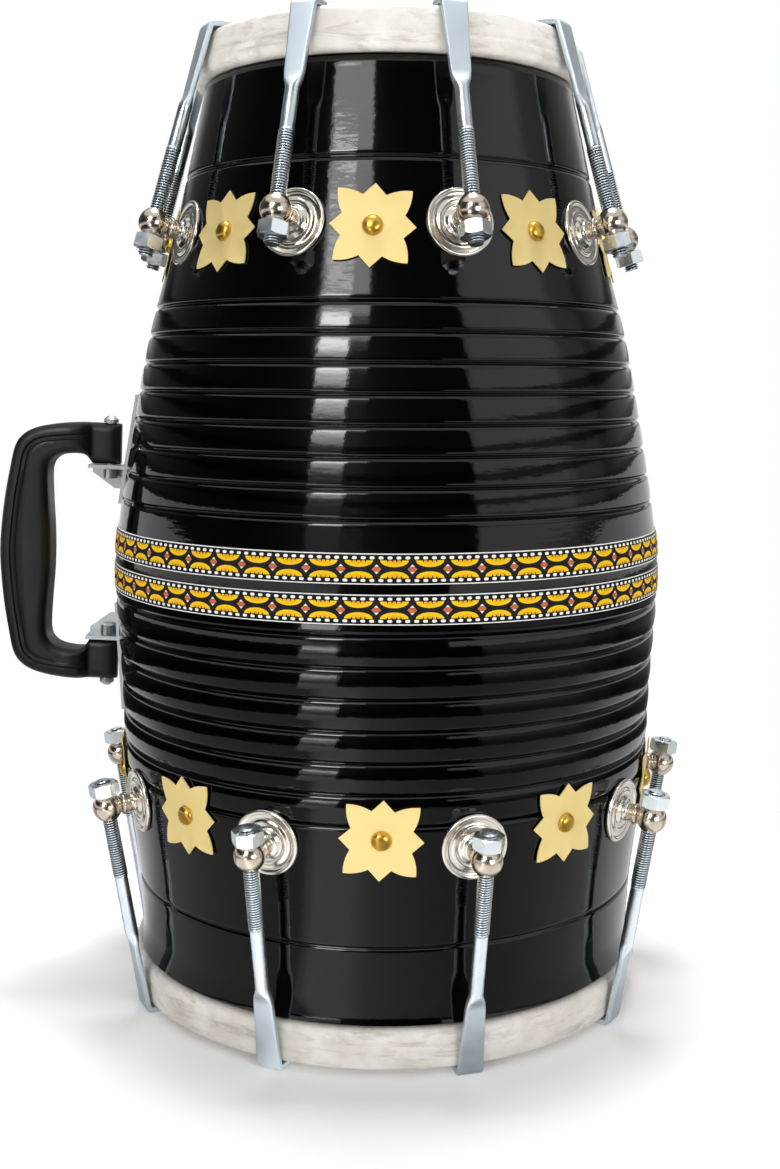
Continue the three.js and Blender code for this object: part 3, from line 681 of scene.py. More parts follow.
# Under each hoop the shell steps in to a neck, whose edge is rounded where the skin bears on it.
NECK = 10.8
WALL = 9
EDGE = 3
UNDER_HOOP = 1
SHOULDER_LOW = 4.2
SHOULDER_HIGH = 3.6
BORE_HEIGHTS = (450, 400, 340, 280, 216, 160, 100, 40)
last = outside[-1][0]
shell_profile = [
    (bass_radius - NECK - WALL, foot + EDGE),
    (bass_radius - NECK - WALL / 2, foot),
    (bass_radius - NECK, foot + EDGE),
    (bass_radius - NECK, bass_crease + UNDER_HOOP),
    (bass_radius - SHOULDER_HIGH, bass_crease + UNDER_HOOP),
    (bass_radius - SHOULDER_LOW, bass_crease + 3 * UNDER_HOOP),
    *outside,
    (last - 0.4, treble_crease - 1.6 * UNDER_HOOP),
    (last - 1.2, treble_crease - UNDER_HOOP),
    (treble_radius - NECK, treble_crease - UNDER_HOOP),
    (treble_radius - NECK, top - EDGE),
    (treble_radius - NECK - WALL / 2, top),
    (treble_radius - NECK - WALL, top - EDGE),
    *[(wall_radius(h) - WALL - 2, h) for h in BORE_HEIGHTS],
]
shell_form = turned(shell_profile, SHELL_STEPS, looped=True)
shell_data = mesh_of("shell_turned", shell_form, lacquer, sharp=50)
put("shell_turned", shell_data, "drum", ["shell"])
print(
    "shell of", len(shell_data.polygons), "faces, belly", round(max(r for r, _ in outside), 1), "mm"
)

# %% [markdown]
# ## Goatskin
#
# Each head is a wet goatskin, pulled over an iron hoop, tucked back under it and left to dry. It
# ends up hard, creamy and uneven: thin where it was stretched, with grey smudges from handling
# and faint creases round the lap. The colour is therefore a cloud of two creams with a drawn-out
# grey cloud over it. The skin is matt, as rawhide is, and a little light spreads inside it.

# %% Goatskin finish
CREAM_THIN = "#E0DAD0"
CREAM_THICK = "#F5F2EC"
HANDLED = "#A39C93"
SPREAD = (4 * MM, 2 * MM, 1 * MM)
goatskin = new_material("rawhide_goatskin_dried")
hide_at = add(goatskin, "TexCoord")
CLOUD = 26 * MM
clouds = add(
    goatskin,
    "TexNoise",
    {"Vector": hide_at.outputs["Object"], "Scale": 1 / CLOUD, "Detail": 5.0, "Roughness": 0.6},
)
SMUDGE_LONG = 22 * MM
SMUDGE_HIGH = 5 * MM
smudges_at = add(
    goatskin,
    "Mapping",
    {
        "Vector": hide_at.outputs["Object"],
        "Scale": (1 / SMUDGE_LONG, 1 / SMUDGE_LONG, 1 / SMUDGE_HIGH),
    },
)
smudges = add(
    goatskin,
    "TexNoise",
    {
        "Vector": smudges_at.outputs[0],
        "Scale": 1.0,
        "Detail": 6.0,
        "Roughness": 0.65,
        "Distortion": 0.8,
    },
)
cream = add(goatskin, "ValToRGB", {0: clouds.outputs[0]})
cream.color_ramp.elements[0].position = 0.36
cream.color_ramp.elements[0].color = hex_colour(CREAM_THIN)
cream.color_ramp.elements[1].position = 0.62
cream.color_ramp.elements[1].color = hex_colour(CREAM_THICK)
smudge_share = add(goatskin, "MapRange", {0: smudges.outputs[0], 1: 0.52, 2: 0.72, 3: 0.0, 4: 0.6})
hide_colour = add(
    goatskin,
    "Mix",
    {0: smudge_share.outputs[0], 6: cream.outputs[0], 7: hex_colour(HANDLED)},
    data_type="RGBA",
)
CREASE_SIZE = 3.2 * MM
creases = add(
    goatskin,
    "TexNoise",
    {"Vector": smudges_at.outputs[0], "Scale": SMUDGE_HIGH / CREASE_SIZE, "Detail": 5.0},
)
hide_bump = add(
    goatskin, "Bump", {"Height": creases.outputs[0], "Strength": 1.0, "Distance": 0.35 * MM}
)
hide = add(
    goatskin,
    "BsdfPrincipled",
    {
        "Base Color": hide_colour.outputs[2],
        "Roughness": 0.62,
        "IOR": 1.5,
        "Subsurface Weight": 0.08,
        "Subsurface Radius": SPREAD,
        "Normal": hide_bump.outputs[0],
    },
)
add(goatskin, "OutputMaterial", {"Surface": hide.outputs[0]})
print("goatskin with smudges", SMUDGE_LONG / MM, "mm long and", SMUDGE_HIGH / MM, "mm high")

# %% [markdown]
# ## The two heads
#
# A head's outline runs from the middle of the playing face out over the shell's edge, drops to the
# hoop, rounds it and tucks in underneath, with a crease where the skin was folded over the hoop's
# lower half. The hoop at the small end leans in a little. The face and the lap are two objects,
# because the face has a lamp of its own. The lap wanders by a few tenths of a millimetre, by a
# smooth noise read at each point, so that the two sides of the skin move together.

# %% Outlines of a head
# Each is rows of (radius, distance below the playing face). The face stands up by the crown.
CROWN = 0.8
RIM_IN = 2.2
CREST_IN = 15


def face_profile(radius, taper):
    """The skin inside the hoop, out to its rim."""
    crest = radius - CREST_IN
    rim = radius - taper - RIM_IN
    return [
        (0.01, 0), (crest * 0.4, 0), (crest * 0.8, 0), (crest, 0), (crest + 1.4, CROWN - 0.1),
        (radius - taper - 4.2, CROWN), (rim, CROWN + 0.25), (rim - 0.3, CROWN + 1),
        (crest, CROWN + 1), (0.01, 1),
    ]


def lap_profile(radius, taper, depth):
    """The skin lapped round the hoop, from the rim round to its back."""
    rim = radius - taper - RIM_IN
    return [
        (rim, CROWN + 0.25),
        (radius - taper - 0.7, CROWN + 1.1),
        (radius - taper, CROWN + 2.4),
        (radius - taper * 0.75, depth * 0.3),
        (radius - taper * 0.5, depth * 0.5),
        (radius - taper * 0.38, depth * 0.56),
        (radius - taper * 0.34 - 0.35, depth * 0.6),
        (radius - taper * 0.2, depth * 0.65),
        (radius, depth - 4.4),
        (radius - 0.3, depth - 2.6),
        (radius - 1.1, depth - 0.9),
        (radius - 2.6, depth - 0.2),
        (radius - 5, depth),
        (radius - 9.4, depth),
        (radius - 10, depth - 0.8),
        (radius - 10, CROWN + 1.4),
        (rim - 0.3, CROWN + 1),
    ]


print(
    "a playing face through",
    len(face_profile(100, 3)),
    "points, a lap",
    len(lap_profile(100, 3, 24)),
)

# %% Heads
HEAD_STEPS = 180
WAVE_LONG = 17
RIPPLE_LONG = 6
WANDER = 0.35
RIPPLE_SHARE = 0.4
INWARD = 0.7
LIFT = 0.3
SOFT_FROM = 9
LIFTED_FROM = 7


def make_hide(name, stands_for, face, up, radius, profile, looped):
    """A skin turned from its profile, whose outermost millimetres wander in and out."""
    points, faces = turned([(r, face - up * b) for r, b in profile], HEAD_STEPS, looped=looped)
    moved = []
    for point in points:
        across = point.xy.length
        if across > radius - SOFT_FROM:
            wave = noise.noise(Vector((point.x, point.y, point.z * 2.2)) / WAVE_LONG)
            ripple = noise.noise(Vector((point.x, point.y, point.z * 1.5)) / RIPPLE_LONG)
            grow = 1 + WANDER * (wave + RIPPLE_SHARE * ripple - INWARD) / across
            lift = LIFT * ripple * (across > radius - LIFTED_FROM)
            point = Vector((point.x * grow, point.y * grow, point.z + lift))
        moved.append(point)
    data = mesh_of(name, (moved, faces), goatskin, sharp=60)
    return put(name, data, "drum", stands_for)


def make_head(end, face, up, radius, taper, depth):
    """The two skins of one end. Up is 1 where the face looks up and -1 where it looks down."""
    lap = lap_profile(radius, taper, depth)
    make_hide(f"{end}_face", [], face, up, radius, face_profile(radius, taper), False)
    make_hide(f"{end}_lap", [f"{end}_head"], face, up, radius, lap, True)


TREBLE_TAPER = 3
BASS_TAPER = 0.8
treble_top = treble_hoop[1][2] / MM
bass_foot = bass_hoop[0][2] / MM
make_head("treble", treble_top, 1, treble_radius, TREBLE_TAPER, treble_top - treble_crease)
make_head("bass", bass_foot, -1, bass_radius, BASS_TAPER, bass_crease - bass_foot)
print("heads", round(treble_radius, 1), "and", round(bass_radius, 1), "mm in radius")

# %% [markdown]
# ## Nickel and zinc
#
# The rosettes, posts and balls are nickel plated and polished, a slightly warm grey mirror. The
# hook bolts and nuts are bright zinc plated straight from the die, so they are bluer and duller.
# Both are metals, so the colour is the reflection's own, metallic is 1 and the index stays at its
# default. The nickel has the slow waves of the press and a dust of fine scratches. The zinc has a
# drawn grain along its length, and a bloom where the plating bath lay unevenly. Scratches and
# grain are really a tenth of a millimetre wide, so they are drawn coarser, to show. On the bolts a
# colour attribute carries two marks: red is painted shade, which darkens the valleys of the thread
# nearly to black, and green is the forged strap, which is duller than the drawn rod.

# %% Nickel
PLATE_WARM = "#D0C3B3"
PLATE_NEUTRAL = "#E0DBD0"
BALL_REACH = 12 * MM
ROSETTE_FROM = 14 * MM
nickel = new_material("nickel_plate_polished")
nickel_at = add(nickel, "TexCoord")
WAVE_SIZE = 6 * MM
waves = add(
    nickel,
    "TexNoise",
    {"Vector": nickel_at.outputs["Object"], "Scale": 1 / WAVE_SIZE, "Detail": 2.0},
)
wave_bump = add(
    nickel, "Bump", {"Height": waves.outputs[0], "Strength": 1.0, "Distance": 0.12 * MM}
)
DUST = 1.4 * MM
dust = add(
    nickel, "TexNoise", {"Vector": nickel_at.outputs["Object"], "Scale": 1 / DUST, "Detail": 3.0}
)
nickel_gloss = add(nickel, "MapRange", {0: dust.outputs[0], 1: 0.3, 2: 0.7, 3: 0.14, 4: 0.26})
# In a stud's own frame the ball sits at the origin, so distance from it tells the older, warmer
# plate of ball and post from the neutral rosette.
from_ball = add(nickel, "VectorMath", {0: nickel_at.outputs["Object"]}, operation="LENGTH")
on_rosette = add(
    nickel,
    "MapRange",
    {0: from_ball.outputs["Value"], 1: BALL_REACH, 2: ROSETTE_FROM, 3: 0.0, 4: 1.0},
)
nickel_colour = add(
    nickel,
    "Mix",
    {0: on_rosette.outputs[0], 6: hex_colour(PLATE_WARM), 7: hex_colour(PLATE_NEUTRAL)},
    data_type="RGBA",
)
nickel_shade = add(
    nickel,
    "BsdfPrincipled",
    {
        "Base Color": nickel_colour.outputs[2],
        "Metallic": 1.0,
        "Roughness": nickel_gloss.outputs[0],
        "Normal": wave_bump.outputs[0],
    },
)
add(nickel, "OutputMaterial", {"Surface": nickel_shade.outputs[0]})
print("nickel with waves", WAVE_SIZE / MM, "mm long")

# %% Zinc
ZINC_DULL = "#D6E0E6"
ZINC_BRIGHT = "#EEF4F7"
ZINC_FORGED = "#CED9E0"
# Painted shade for the thread's valleys: this near-black colour, mixed in at this share where the
# attribute is fully red.
THREAD_SHADE_COLOUR = "#15191B"
THREAD_SHADE_SHARE = 0.96
FORGED_DULLER = 0.2
zinc = new_material("zinc_plate_bright")
zinc_at = add(zinc, "TexCoord")
GRAIN_WIDE = 0.5 * MM
GRAIN_LONG = 9 * MM
grain_at = add(
    zinc,
    "Mapping",
    {
        "Vector": zinc_at.outputs["Object"],
        "Scale": (1 / GRAIN_WIDE, 1 / GRAIN_WIDE, 1 / GRAIN_LONG),
    },
)
grain = add(zinc, "TexNoise", {"Vector": grain_at.outputs[0], "Scale": 1.0, "Detail": 2.0})
BLOOM = 7 * MM
bloom = add(
    zinc, "TexNoise", {"Vector": zinc_at.outputs["Object"], "Scale": 1 / BLOOM, "Detail": 4.0}
)
bright_zinc = add(
    zinc,
    "Mix",
    {0: bloom.outputs[0], 6: hex_colour(ZINC_DULL), 7: hex_colour(ZINC_BRIGHT)},
    data_type="RGBA",
)
worked = add(
    zinc, "SeparateColor", {0: add(zinc, "Attribute", attribute_name="worked").outputs["Color"]}
)
# The attribute's red paints shade into the thread's valleys, nearly black where it is full.
thread_shade_share = add(zinc, "Math", {0: worked.outputs[0], 1: THREAD_SHADE_SHARE}, operation="MULTIPLY")
forged_zinc = add(
    zinc,
    "Mix",
    {0: worked.outputs[1], 6: bright_zinc.outputs[2], 7: hex_colour(ZINC_FORGED)},
    data_type="RGBA",
)
zinc_colour = add(
    zinc,
    "Mix",
    {0: thread_shade_share.outputs[0], 6: forged_zinc.outputs[2], 7: hex_colour(THREAD_SHADE_COLOUR)},
    data_type="RGBA",
)
drawn_gloss = add(zinc, "MapRange", {0: bloom.outputs[0], 1: 0.3, 2: 0.7, 3: 0.24, 4: 0.36})
forged_dull = add(zinc, "Math", {0: worked.outputs[1], 1: FORGED_DULLER}, operation="MULTIPLY")
zinc_gloss = add(
    zinc, "Math", {0: drawn_gloss.outputs[0], 1: forged_dull.outputs[0]}, operation="ADD"
)
grain_bump = add(
    zinc, "Bump", {"Height": grain.outputs[0], "Strength": 1.0, "Distance": 0.012 * MM}
)
zinc_shade = add(
    zinc,
    "BsdfPrincipled",
    {
        "Base Color": zinc_colour.outputs[2],
        "Metallic": 1.0,
        "Roughness": zinc_gloss.outputs[0],
        "Normal": grain_bump.outputs[0],
    },
)
add(zinc, "OutputMaterial", {"Surface": zinc_shade.outputs[0]})
print("zinc with a grain", GRAIN_WIDE / MM, "mm wide and", GRAIN_LONG / MM, "mm long")

# %% [markdown]
# ## Where each stud stands
#
# Each stud's ball is where the nut's joint turns, and the joint's axis is the rod, so the frame's
# joints say where all eighteen sets go. In a stud's own frame X points out of the drum and Z to the
# nearer head. The post stands square on the wall, whose slope comes from the outline read above.

# %% Stud frames
def stud_frame(joint):
    """The stud's own frame, and how far its rod leans in from the drum's axis."""
    centre = Vector(joint["pos_m"])
    axis = Vector(joint["axis"])
    out = Vector((centre.x, centre.y, 0)).normalized()
    headward = Vector((0, 0, -math.copysign(1, axis.z)))
    matrix = Matrix((out, headward.cross(out), headward)).transposed().to_4x4()
    matrix.translation = centre
    return matrix, math.asin(axis.dot(out))


def wall_tilt(height, up):
    """The wall's slope under a rosette, from its radius at the rosette's two edges."""
    fall = wall_radius(height - up * ROSETTE_HALF) - wall_radius(height + up * ROSETTE_HALF)
    return math.atan2(fall, 2 * ROSETTE_HALF)


ROSETTE_HALF = 16
STUDS = range(1, 10)
ends = {}
for end in ("treble", "bass"):
    matrix, rod_tilt = stud_frame(joints[f"{end}_nut_1_turn"])
    up = 1 if end == "treble" else -1
    height = matrix.translation.z / MM
    stand = matrix.translation.xy.length / MM - wall_radius(height)
    ends[end] = {"rod_tilt": rod_tilt, "post_tilt": wall_tilt(height, up), "stand": stand}
    print(end, {key: round(value, 3) for key, value in ends[end].items()})

# %% [markdown]
# ## Studs
#
# A stud is three turned forms: a pressed rosette washer with a rolled rim and two rings, a short
# post with a collar, and a ball with a hole through it for the rod. The rosette and post are turned
# about the post's axis and the ball about the rod's, so that its hole lines up with the rod.

# %% The ball and the rosette
# The rosette and its post are rows of (radius, distance from the wall).
BALL = 7.3
HOLE = 4.15
HOLE_EDGE = 0.08
ROSETTE = [
    (0.01, -0.2), (15.9, -0.2), (16, 0.5), (15.9, 1.1), (15.5, 1.6), (14.9, 1.8), (14.3, 1.7),
    (13.8, 1.3), (13.2, 1.0), (12.3, 0.85), (11.4, 0.95), (10.8, 1.4), (10.2, 1.75), (9.5, 1.8),
    (8.9, 1.5), (8.4, 1.3), (7.8, 1.5), (7.2, 2.2), (6.6, 2.9), (5.9, 3.3), (5.2, 3.45), (4.8, 3.9),
    (4.6, 4.8), (4.6, 7.6), (5.2, 8.2), (5.4, 8.8), (5.2, 9.4), (4.6, 10), (0.01, 12),
]
ball_turns = [math.radians(a) for a in range(0, 181, 9)]
hole_turn = math.asin(HOLE / BALL)
first_turn, last_turn = hole_turn + HOLE_EDGE, math.pi - hole_turn - HOLE_EDGE
mouth = BALL * math.cos(hole_turn)
ball_profile = [
    (HOLE, mouth - 0.35),
    (HOLE + 0.3, mouth - 0.05),
    *[(BALL * math.sin(a), BALL * math.cos(a)) for a in ball_turns if first_turn < a < last_turn],
    (HOLE + 0.3, 0.05 - mouth),
    (HOLE, 0.35 - mouth),
]
print("the rod's hole opens", round(mouth, 2), "mm from the ball's middle")

# %% Studs
ROSETTE_STEPS = 64
BALL_STEPS = 40
for end, facts in ends.items():
    to_post = Matrix.Rotation(math.pi / 2 - facts["post_tilt"], 4, "Y")
    to_post = to_post @ Matrix.Translation((0, 0, -facts["stand"]))
    to_rod = Matrix.Rotation(-facts["rod_tilt"], 4, "Y")
    rosette_points, rosette_faces = turned(ROSETTE, ROSETTE_STEPS)
    ball_points, ball_faces = turned(ball_profile, BALL_STEPS, looped=True)
    stud = together(
        ([to_post @ p for p in rosette_points], rosette_faces),
        ([to_rod @ p for p in ball_points], ball_faces),
    )
    facts["stud"] = mesh_of(f"{end}_stud_mesh", stud, nickel, sharp=50)
    for i in STUDS:
        matrix, _ = stud_frame(joints[f"{end}_nut_{i}_turn"])
        put(f"{end}_post_{i}", facts["stud"], "drum", [f"{end}_stud_{i}"], matrix)
print("18 studs of", len(ends["treble"]["stud"].polygons), "faces")

# %% [markdown]
# ## Nuts
#
# A hex nut is a hexagonal bar whose two faces were turned off at 30 degrees, which leaves the arcs
# at its corners. Sampled round in fine steps, the height of the rim follows from the radius: nearer
# the corners the cone has cut lower. A plain hexagonal prism lacks those arcs and looks cut from
# card.

# %% The nut's rings
NUT_FLATS = 13
NUT_HEIGHT = 6.8
NUT_STEPS = 72
CHAMFER_FROM = 0.95
CHAMFER = math.radians(30)
FACE_SHARE = 0.86


def hex_radius(angle):
    """How far the hexagon reaches in a direction."""
    return NUT_FLATS / 2 / math.cos((angle + math.pi / 6) % (math.pi / 3) - math.pi / 6)


def nut_ring(share, height):
    """A ring between the hole and the flats, whose height drops along the chamfer's cone."""
    made = []
    for i in range(NUT_STEPS):
        angle = 2 * math.pi * i / NUT_STEPS
        radius = HOLE + (hex_radius(angle + math.pi / 6) - HOLE) * share
        drop = max(0, radius - NUT_FLATS / 2 * CHAMFER_FROM) * math.tan(CHAMFER)
        level = height - math.copysign(drop, height)
        made.append(Vector((radius * math.cos(angle), radius * math.sin(angle), level)))
    return made


half = NUT_HEIGHT / 2
nut_rings = [
    ring(HOLE - 0.4, -half + 0.7, NUT_STEPS),
    ring(HOLE + 0.2, -half, NUT_STEPS),
    nut_ring(FACE_SHARE, -half),
    nut_ring(1, -half),
    nut_ring(1, half),
    nut_ring(FACE_SHARE, half),
    ring(HOLE + 0.2, half, NUT_STEPS),
    ring(HOLE - 0.4, half - 0.7, NUT_STEPS),
]
print("a nut", round(2 * hex_radius(0), 1), "mm over its flats and", NUT_HEIGHT, "mm high")

# %% Nuts
NUT_GAP = 0.3
nut_middle = -(mouth + NUT_GAP + half)
# How far each nut of the photograph is turned on its rod, in degrees; the others follow no rule.
NUT_TURNS = {
    "treble": [12, 22, 5, 47, 25, 8, 33, 51, 18],
    "bass": [20, 15, 34, 0, 30, 11, 52, 27, 38],
}
for end, facts in ends.items():
    facts["nut"] = mesh_of(f"{end}_nut_mesh", skin(nut_rings, looped=True), zinc, sharp=25)
    for i in STUDS:
        matrix, _ = stud_frame(joints[f"{end}_nut_{i}_turn"])
        seat = (
            matrix
            @ Matrix.Rotation(-facts["rod_tilt"], 4, "Y")
            @ Matrix.Translation((0, 0, nut_middle * MM))
            @ Matrix.Rotation(math.radians(NUT_TURNS[end][i - 1]), 4, "Z")
        )
        put(
            f"{end}_hex_nut_{i}",
            facts["nut"],
            f"{end}_nut_{i}",
            [f"{end}_nut_{i}"],
            seat,
        )
print("18 nuts of", len(ends["treble"]["nut"].polygons), "faces")

# %% [markdown]
# ## Hook bolts
#
# A hook bolt starts as a round rod with a rolled M8 thread. Its other end is forged flat, widens
# towards the hoop and is bent over it. One skin of rings can follow all of that: the ring's radius
# winds round in a helix along the thread, is a plain circle on the shank, and turns to a rounded
# rectangle through the shoulder. The pitch of 1.25 mm is the real one and still shows in the
# render, with eight rings to a turn so that a ridge has a slope on both sides.

# %% Sections of a hook bolt
THREAD_PITCH = 1.25
THREAD_CREST = 3.72
THREAD_CUT = 0.9
SHANK = 3.3
THREAD_END = 37
ROD_SIDES = 24
STRAP_THICK = 3
STRAP_WIDE = 12.4
STRAP_ROOT = 9.2
RINGS_PER_TURN = 8
RIDGE_SHARP = 1.3
STEP = THREAD_PITCH / RINGS_PER_TURN


def section(half_out, half_wide, squareness):
    """A ring that goes from an ellipse, at 1, to a rounded rectangle, near 0."""
    made = []
    for i in range(ROD_SIDES):
        angle = 2 * math.pi * i / ROD_SIDES
        c, s = math.cos(angle), math.sin(angle)
        out = math.copysign(abs(c) ** squareness, c) * half_out
        wide = math.copysign(abs(s) ** squareness, s) * half_wide
        made.append(Vector((out, wide, 0)))
    return made


def thread_ring(height, depth):
    """A ring through the thread, nearer the rod's axis where the valley passes."""
    made = []
    for i in range(ROD_SIDES):
        turn = i / ROD_SIDES
        wave = 0.5 - 0.5 * math.cos(2 * math.pi * (height / THREAD_PITCH - turn))
        radius = THREAD_CREST - depth * wave**RIDGE_SHARP
        angle = 2 * math.pi * turn
        made.append(Vector((radius * math.cos(angle), radius * math.sin(angle), height)))
    return made


print("thread rings every", round(STEP, 3), "mm")


# %% Rings of a hook bolt
# The shoulder is rows of (distance along, half thickness, half width, squareness).
SHOULDER = [
    (-1, SHANK, SHANK, 1),
    (0.5, SHANK, SHANK, 1),
    (2.2, 3.1, 3.7, 0.8),
    (4.2, 2.3, 4.3, 0.5),
    (6.2, 1.6, 4.6, 0.3),
    (8.5, 1.5, 4.85, 0.22),
]
SHOULDER_LONG = 7
STRAP_LONG = 33
FLAT = 0.22
BEND_INSIDE = 1.4
BEND_RINGS = 7


def thread_rings(rod_low):
    """The thread's end, the thread below the ball, plain rod through the ball, and thread again."""
    count = int((-BALL + 1 - rod_low) / STEP)
    rings = [ring(THREAD_CREST * 0.84, rod_low, ROD_SIDES)]
    rings += [thread_ring(rod_low + 0.4 + i * STEP, THREAD_CUT) for i in range(count)]
    rings.append(ring(SHANK, -BALL + 2, ROD_SIDES))
    rings.append(ring(SHANK, BALL - 2, ROD_SIDES))
    count = int((THREAD_END - BALL + 1.5) / STEP)
    for i in range(count):
        height = BALL - 1.5 + i * STEP
        fade = min(1, (THREAD_END - height) / 2.5)
        depth = THREAD_CREST - SHANK + (THREAD_CUT - THREAD_CREST + SHANK) * fade
        rings.append(thread_ring(height, depth))
    rings.append(ring(SHANK, THREAD_END + 0.6, ROD_SIDES))
    return rings


def strap_rings(rod_tilt, to_rod, bend_start, tip_height, tip_in):
    """The shoulder, the widening strap, its bend over the hoop and the flat tip."""
    rings = []
    root = bend_start - STRAP_LONG
    for along, half_out, half_wide, squareness in SHOULDER:
        lift = Vector((0, 0, root - SHOULDER_LONG + along))
        rings.append([to_rod @ (p + lift) for p in section(half_out, half_wide, squareness)])
    for along in (0.35, 0.7, 1):
        half_wide = (STRAP_ROOT + (STRAP_WIDE - STRAP_ROOT) * along) / 2
        lift = Vector((0, 0, root + (bend_start - root) * along))
        rings.append([to_rod @ (p + lift) for p in section(STRAP_THICK / 2, half_wide, FLAT)])
    bend_radius = BEND_INSIDE + STRAP_THICK / 2
    bend_angle = math.pi / 2 - rod_tilt
    start = to_rod @ Vector((0, 0, bend_start))
    centre = start - Vector((math.cos(rod_tilt), 0, math.sin(rod_tilt))) * bend_radius
    for i in range(1, BEND_RINGS + 1):
        angle = rod_tilt + bend_angle * i / BEND_RINGS
        middle = centre + Vector((math.cos(angle), 0, math.sin(angle))) * bend_radius
        turn = Matrix.Rotation(-angle, 4, "Y")
        rings.append([middle + turn @ p for p in section(STRAP_THICK / 2, STRAP_WIDE / 2, FLAT)])
    flat = Matrix.Rotation(-math.pi / 2, 4, "Y")
    for x, size in ((tip_in + 0.5, 1), (tip_in + 0.1, 0.94), (tip_in, 0.82)):
        middle = Vector((x, 0, tip_height))
        half_wide = STRAP_WIDE / 2 * (0.8 + 0.2 * size)
        rings.append([middle + flat @ p for p in section(STRAP_THICK / 2 * size, half_wide, FLAT)])
    return rings


print("a shoulder", SHOULDER_LONG, "mm long and a strap of", STRAP_LONG, "mm up to its bend")


# %% Painted shade in a bolt's thread, and where its metal was forged
VALLEY_FROM = 0.35
VALLEY_FADE = 0.3
FORGED_FADE = 8


def mark_valley_shade_and_forging(data, to_rod, rod_low, shank_end):
    """Red for painted shade in the thread's valleys, and green for the forged strap. The thread is
    shaded round.
    """
    worked = data.color_attributes.new("worked", "FLOAT_COLOR", "POINT")
    back = to_rod.inverted()
    threaded = []
    for vertex in data.vertices:
        at = back @ vertex.co / MM
        in_thread = rod_low + 0.2 < at.z < THREAD_END
        sunk = (THREAD_CREST - math.hypot(at.x, at.y)) / THREAD_CUT
        # The valley share is where shade is painted into the thread.
        valley = min(1, max(0, (sunk - VALLEY_FROM) / VALLEY_FADE)) if in_thread else 0
        forged = min(1, max(0, (at.z - shank_end) / FORGED_FADE))
        worked.data[vertex.index].color = (valley, forged, 0, 1)
        threaded.append(in_thread)
    sharp = data.attributes["sharp_edge"].data
    for edge in data.edges:
        if threaded[edge.vertices[0]] and threaded[edge.vertices[1]]:
            sharp[edge.index].value = False


# %% Hook bolts
def bolt_mesh(end, facts, node):
    """A bolt in its stud's own frame, with its ends where the solid's ends are."""
    rod_tilt = facts["rod_tilt"]
    to_rod = Matrix.Rotation(-rod_tilt, 4, "Y")
    own = stud_frame(joints[f"{end}_nut_1_turn"])[0].inverted()
    solid = [own @ v.co / MM for v in nodes[node].data.vertices]
    tip_height = max(p.z for p in solid) - STRAP_THICK / 2
    tip_in = min(p.x for p in solid)
    rod_low = min((to_rod.inverted() @ p).z for p in solid)
    past_bend = (BEND_INSIDE + STRAP_THICK / 2) * math.tan((math.pi / 2 - rod_tilt) / 2)
    bend_start = tip_height / math.cos(rod_tilt) - past_bend
    rings = [[to_rod @ p for p in one] for one in thread_rings(rod_low)]
    rings += strap_rings(rod_tilt, to_rod, bend_start, tip_height, tip_in)
    data = mesh_of(f"{end}_bolt_mesh", skin(rings), zinc, sharp=38)
    mark_valley_shade_and_forging(data, to_rod, rod_low, bend_start - STRAP_LONG - SHOULDER_LONG)
    return data


for end, facts in ends.items():
    facts["bolt"] = bolt_mesh(end, facts, f"{end}_hook_bolt_1")
    for i in STUDS:
        matrix, _ = stud_frame(joints[f"{end}_nut_{i}_turn"])
        name = f"{end}_hook_bolt_{i}"
        put(f"{end}_bolt_{i}", facts["bolt"], name, [name], matrix)
print("18 hook bolts of", len(ends["treble"]["bolt"].polygons), "faces")

# %% [markdown]
# ## Brass stars and their nails
#
# Between the rosettes sit eight-pointed stars, stamped from half-millimetre brass sheet and held by
# one domed nail each. Rolled sheet has a soft satin look, pale where it has bloomed, with fine
# lines the way it went through the mill. The nail is polished and deeper in colour, so it holds a
# small clear highlight. Brass is a metal: its colour is the reflection's own and its index stays
# at the default. Rolling lines are really too fine to see, so they are drawn 0.35 mm wide.

# %% Brass
BRASS_DEEP = "#EAD490"
BRASS_PALE = "#F3E5B2"
brass = new_material("brass_sheet_stamped")
brass_at = add(brass, "TexCoord")
STAIN = 9 * MM
stain = add(
    brass,
    "TexNoise",
    {"Vector": brass_at.outputs["Object"], "Scale": 1 / STAIN, "Detail": 5.0, "Roughness": 0.6},
)
brass_colour = add(
    brass,
    "Mix",
    {0: stain.outputs[0], 6: hex_colour(BRASS_DEEP), 7: hex_colour(BRASS_PALE)},
    data_type="RGBA",
)
ROLL_WIDE = 0.35 * MM
ROLL_LONG = 12 * MM
roll_at = add(
    brass,
    "Mapping",
    {"Vector": brass_at.outputs["Object"], "Scale": (1 / ROLL_LONG, 1 / ROLL_LONG, 1 / ROLL_WIDE)},
)
rolled = add(brass, "TexNoise", {"Vector": roll_at.outputs[0], "Scale": 1.0, "Detail": 2.0})
roll_bump = add(
    brass, "Bump", {"Height": rolled.outputs[0], "Strength": 1.0, "Distance": 0.02 * MM}
)
brass_gloss = add(brass, "MapRange", {0: stain.outputs[0], 1: 0.3, 2: 0.7, 3: 0.68, 4: 0.82})
brass_shade = add(
    brass,
    "BsdfPrincipled",
    {
        "Base Color": brass_colour.outputs[2],
        "Metallic": 1.0,
        "Roughness": brass_gloss.outputs[0],
        "Normal": roll_bump.outputs[0],
    },
)
add(brass, "OutputMaterial", {"Surface": brass_shade.outputs[0]})
print("brass sheet with stains", STAIN / MM, "mm wide")

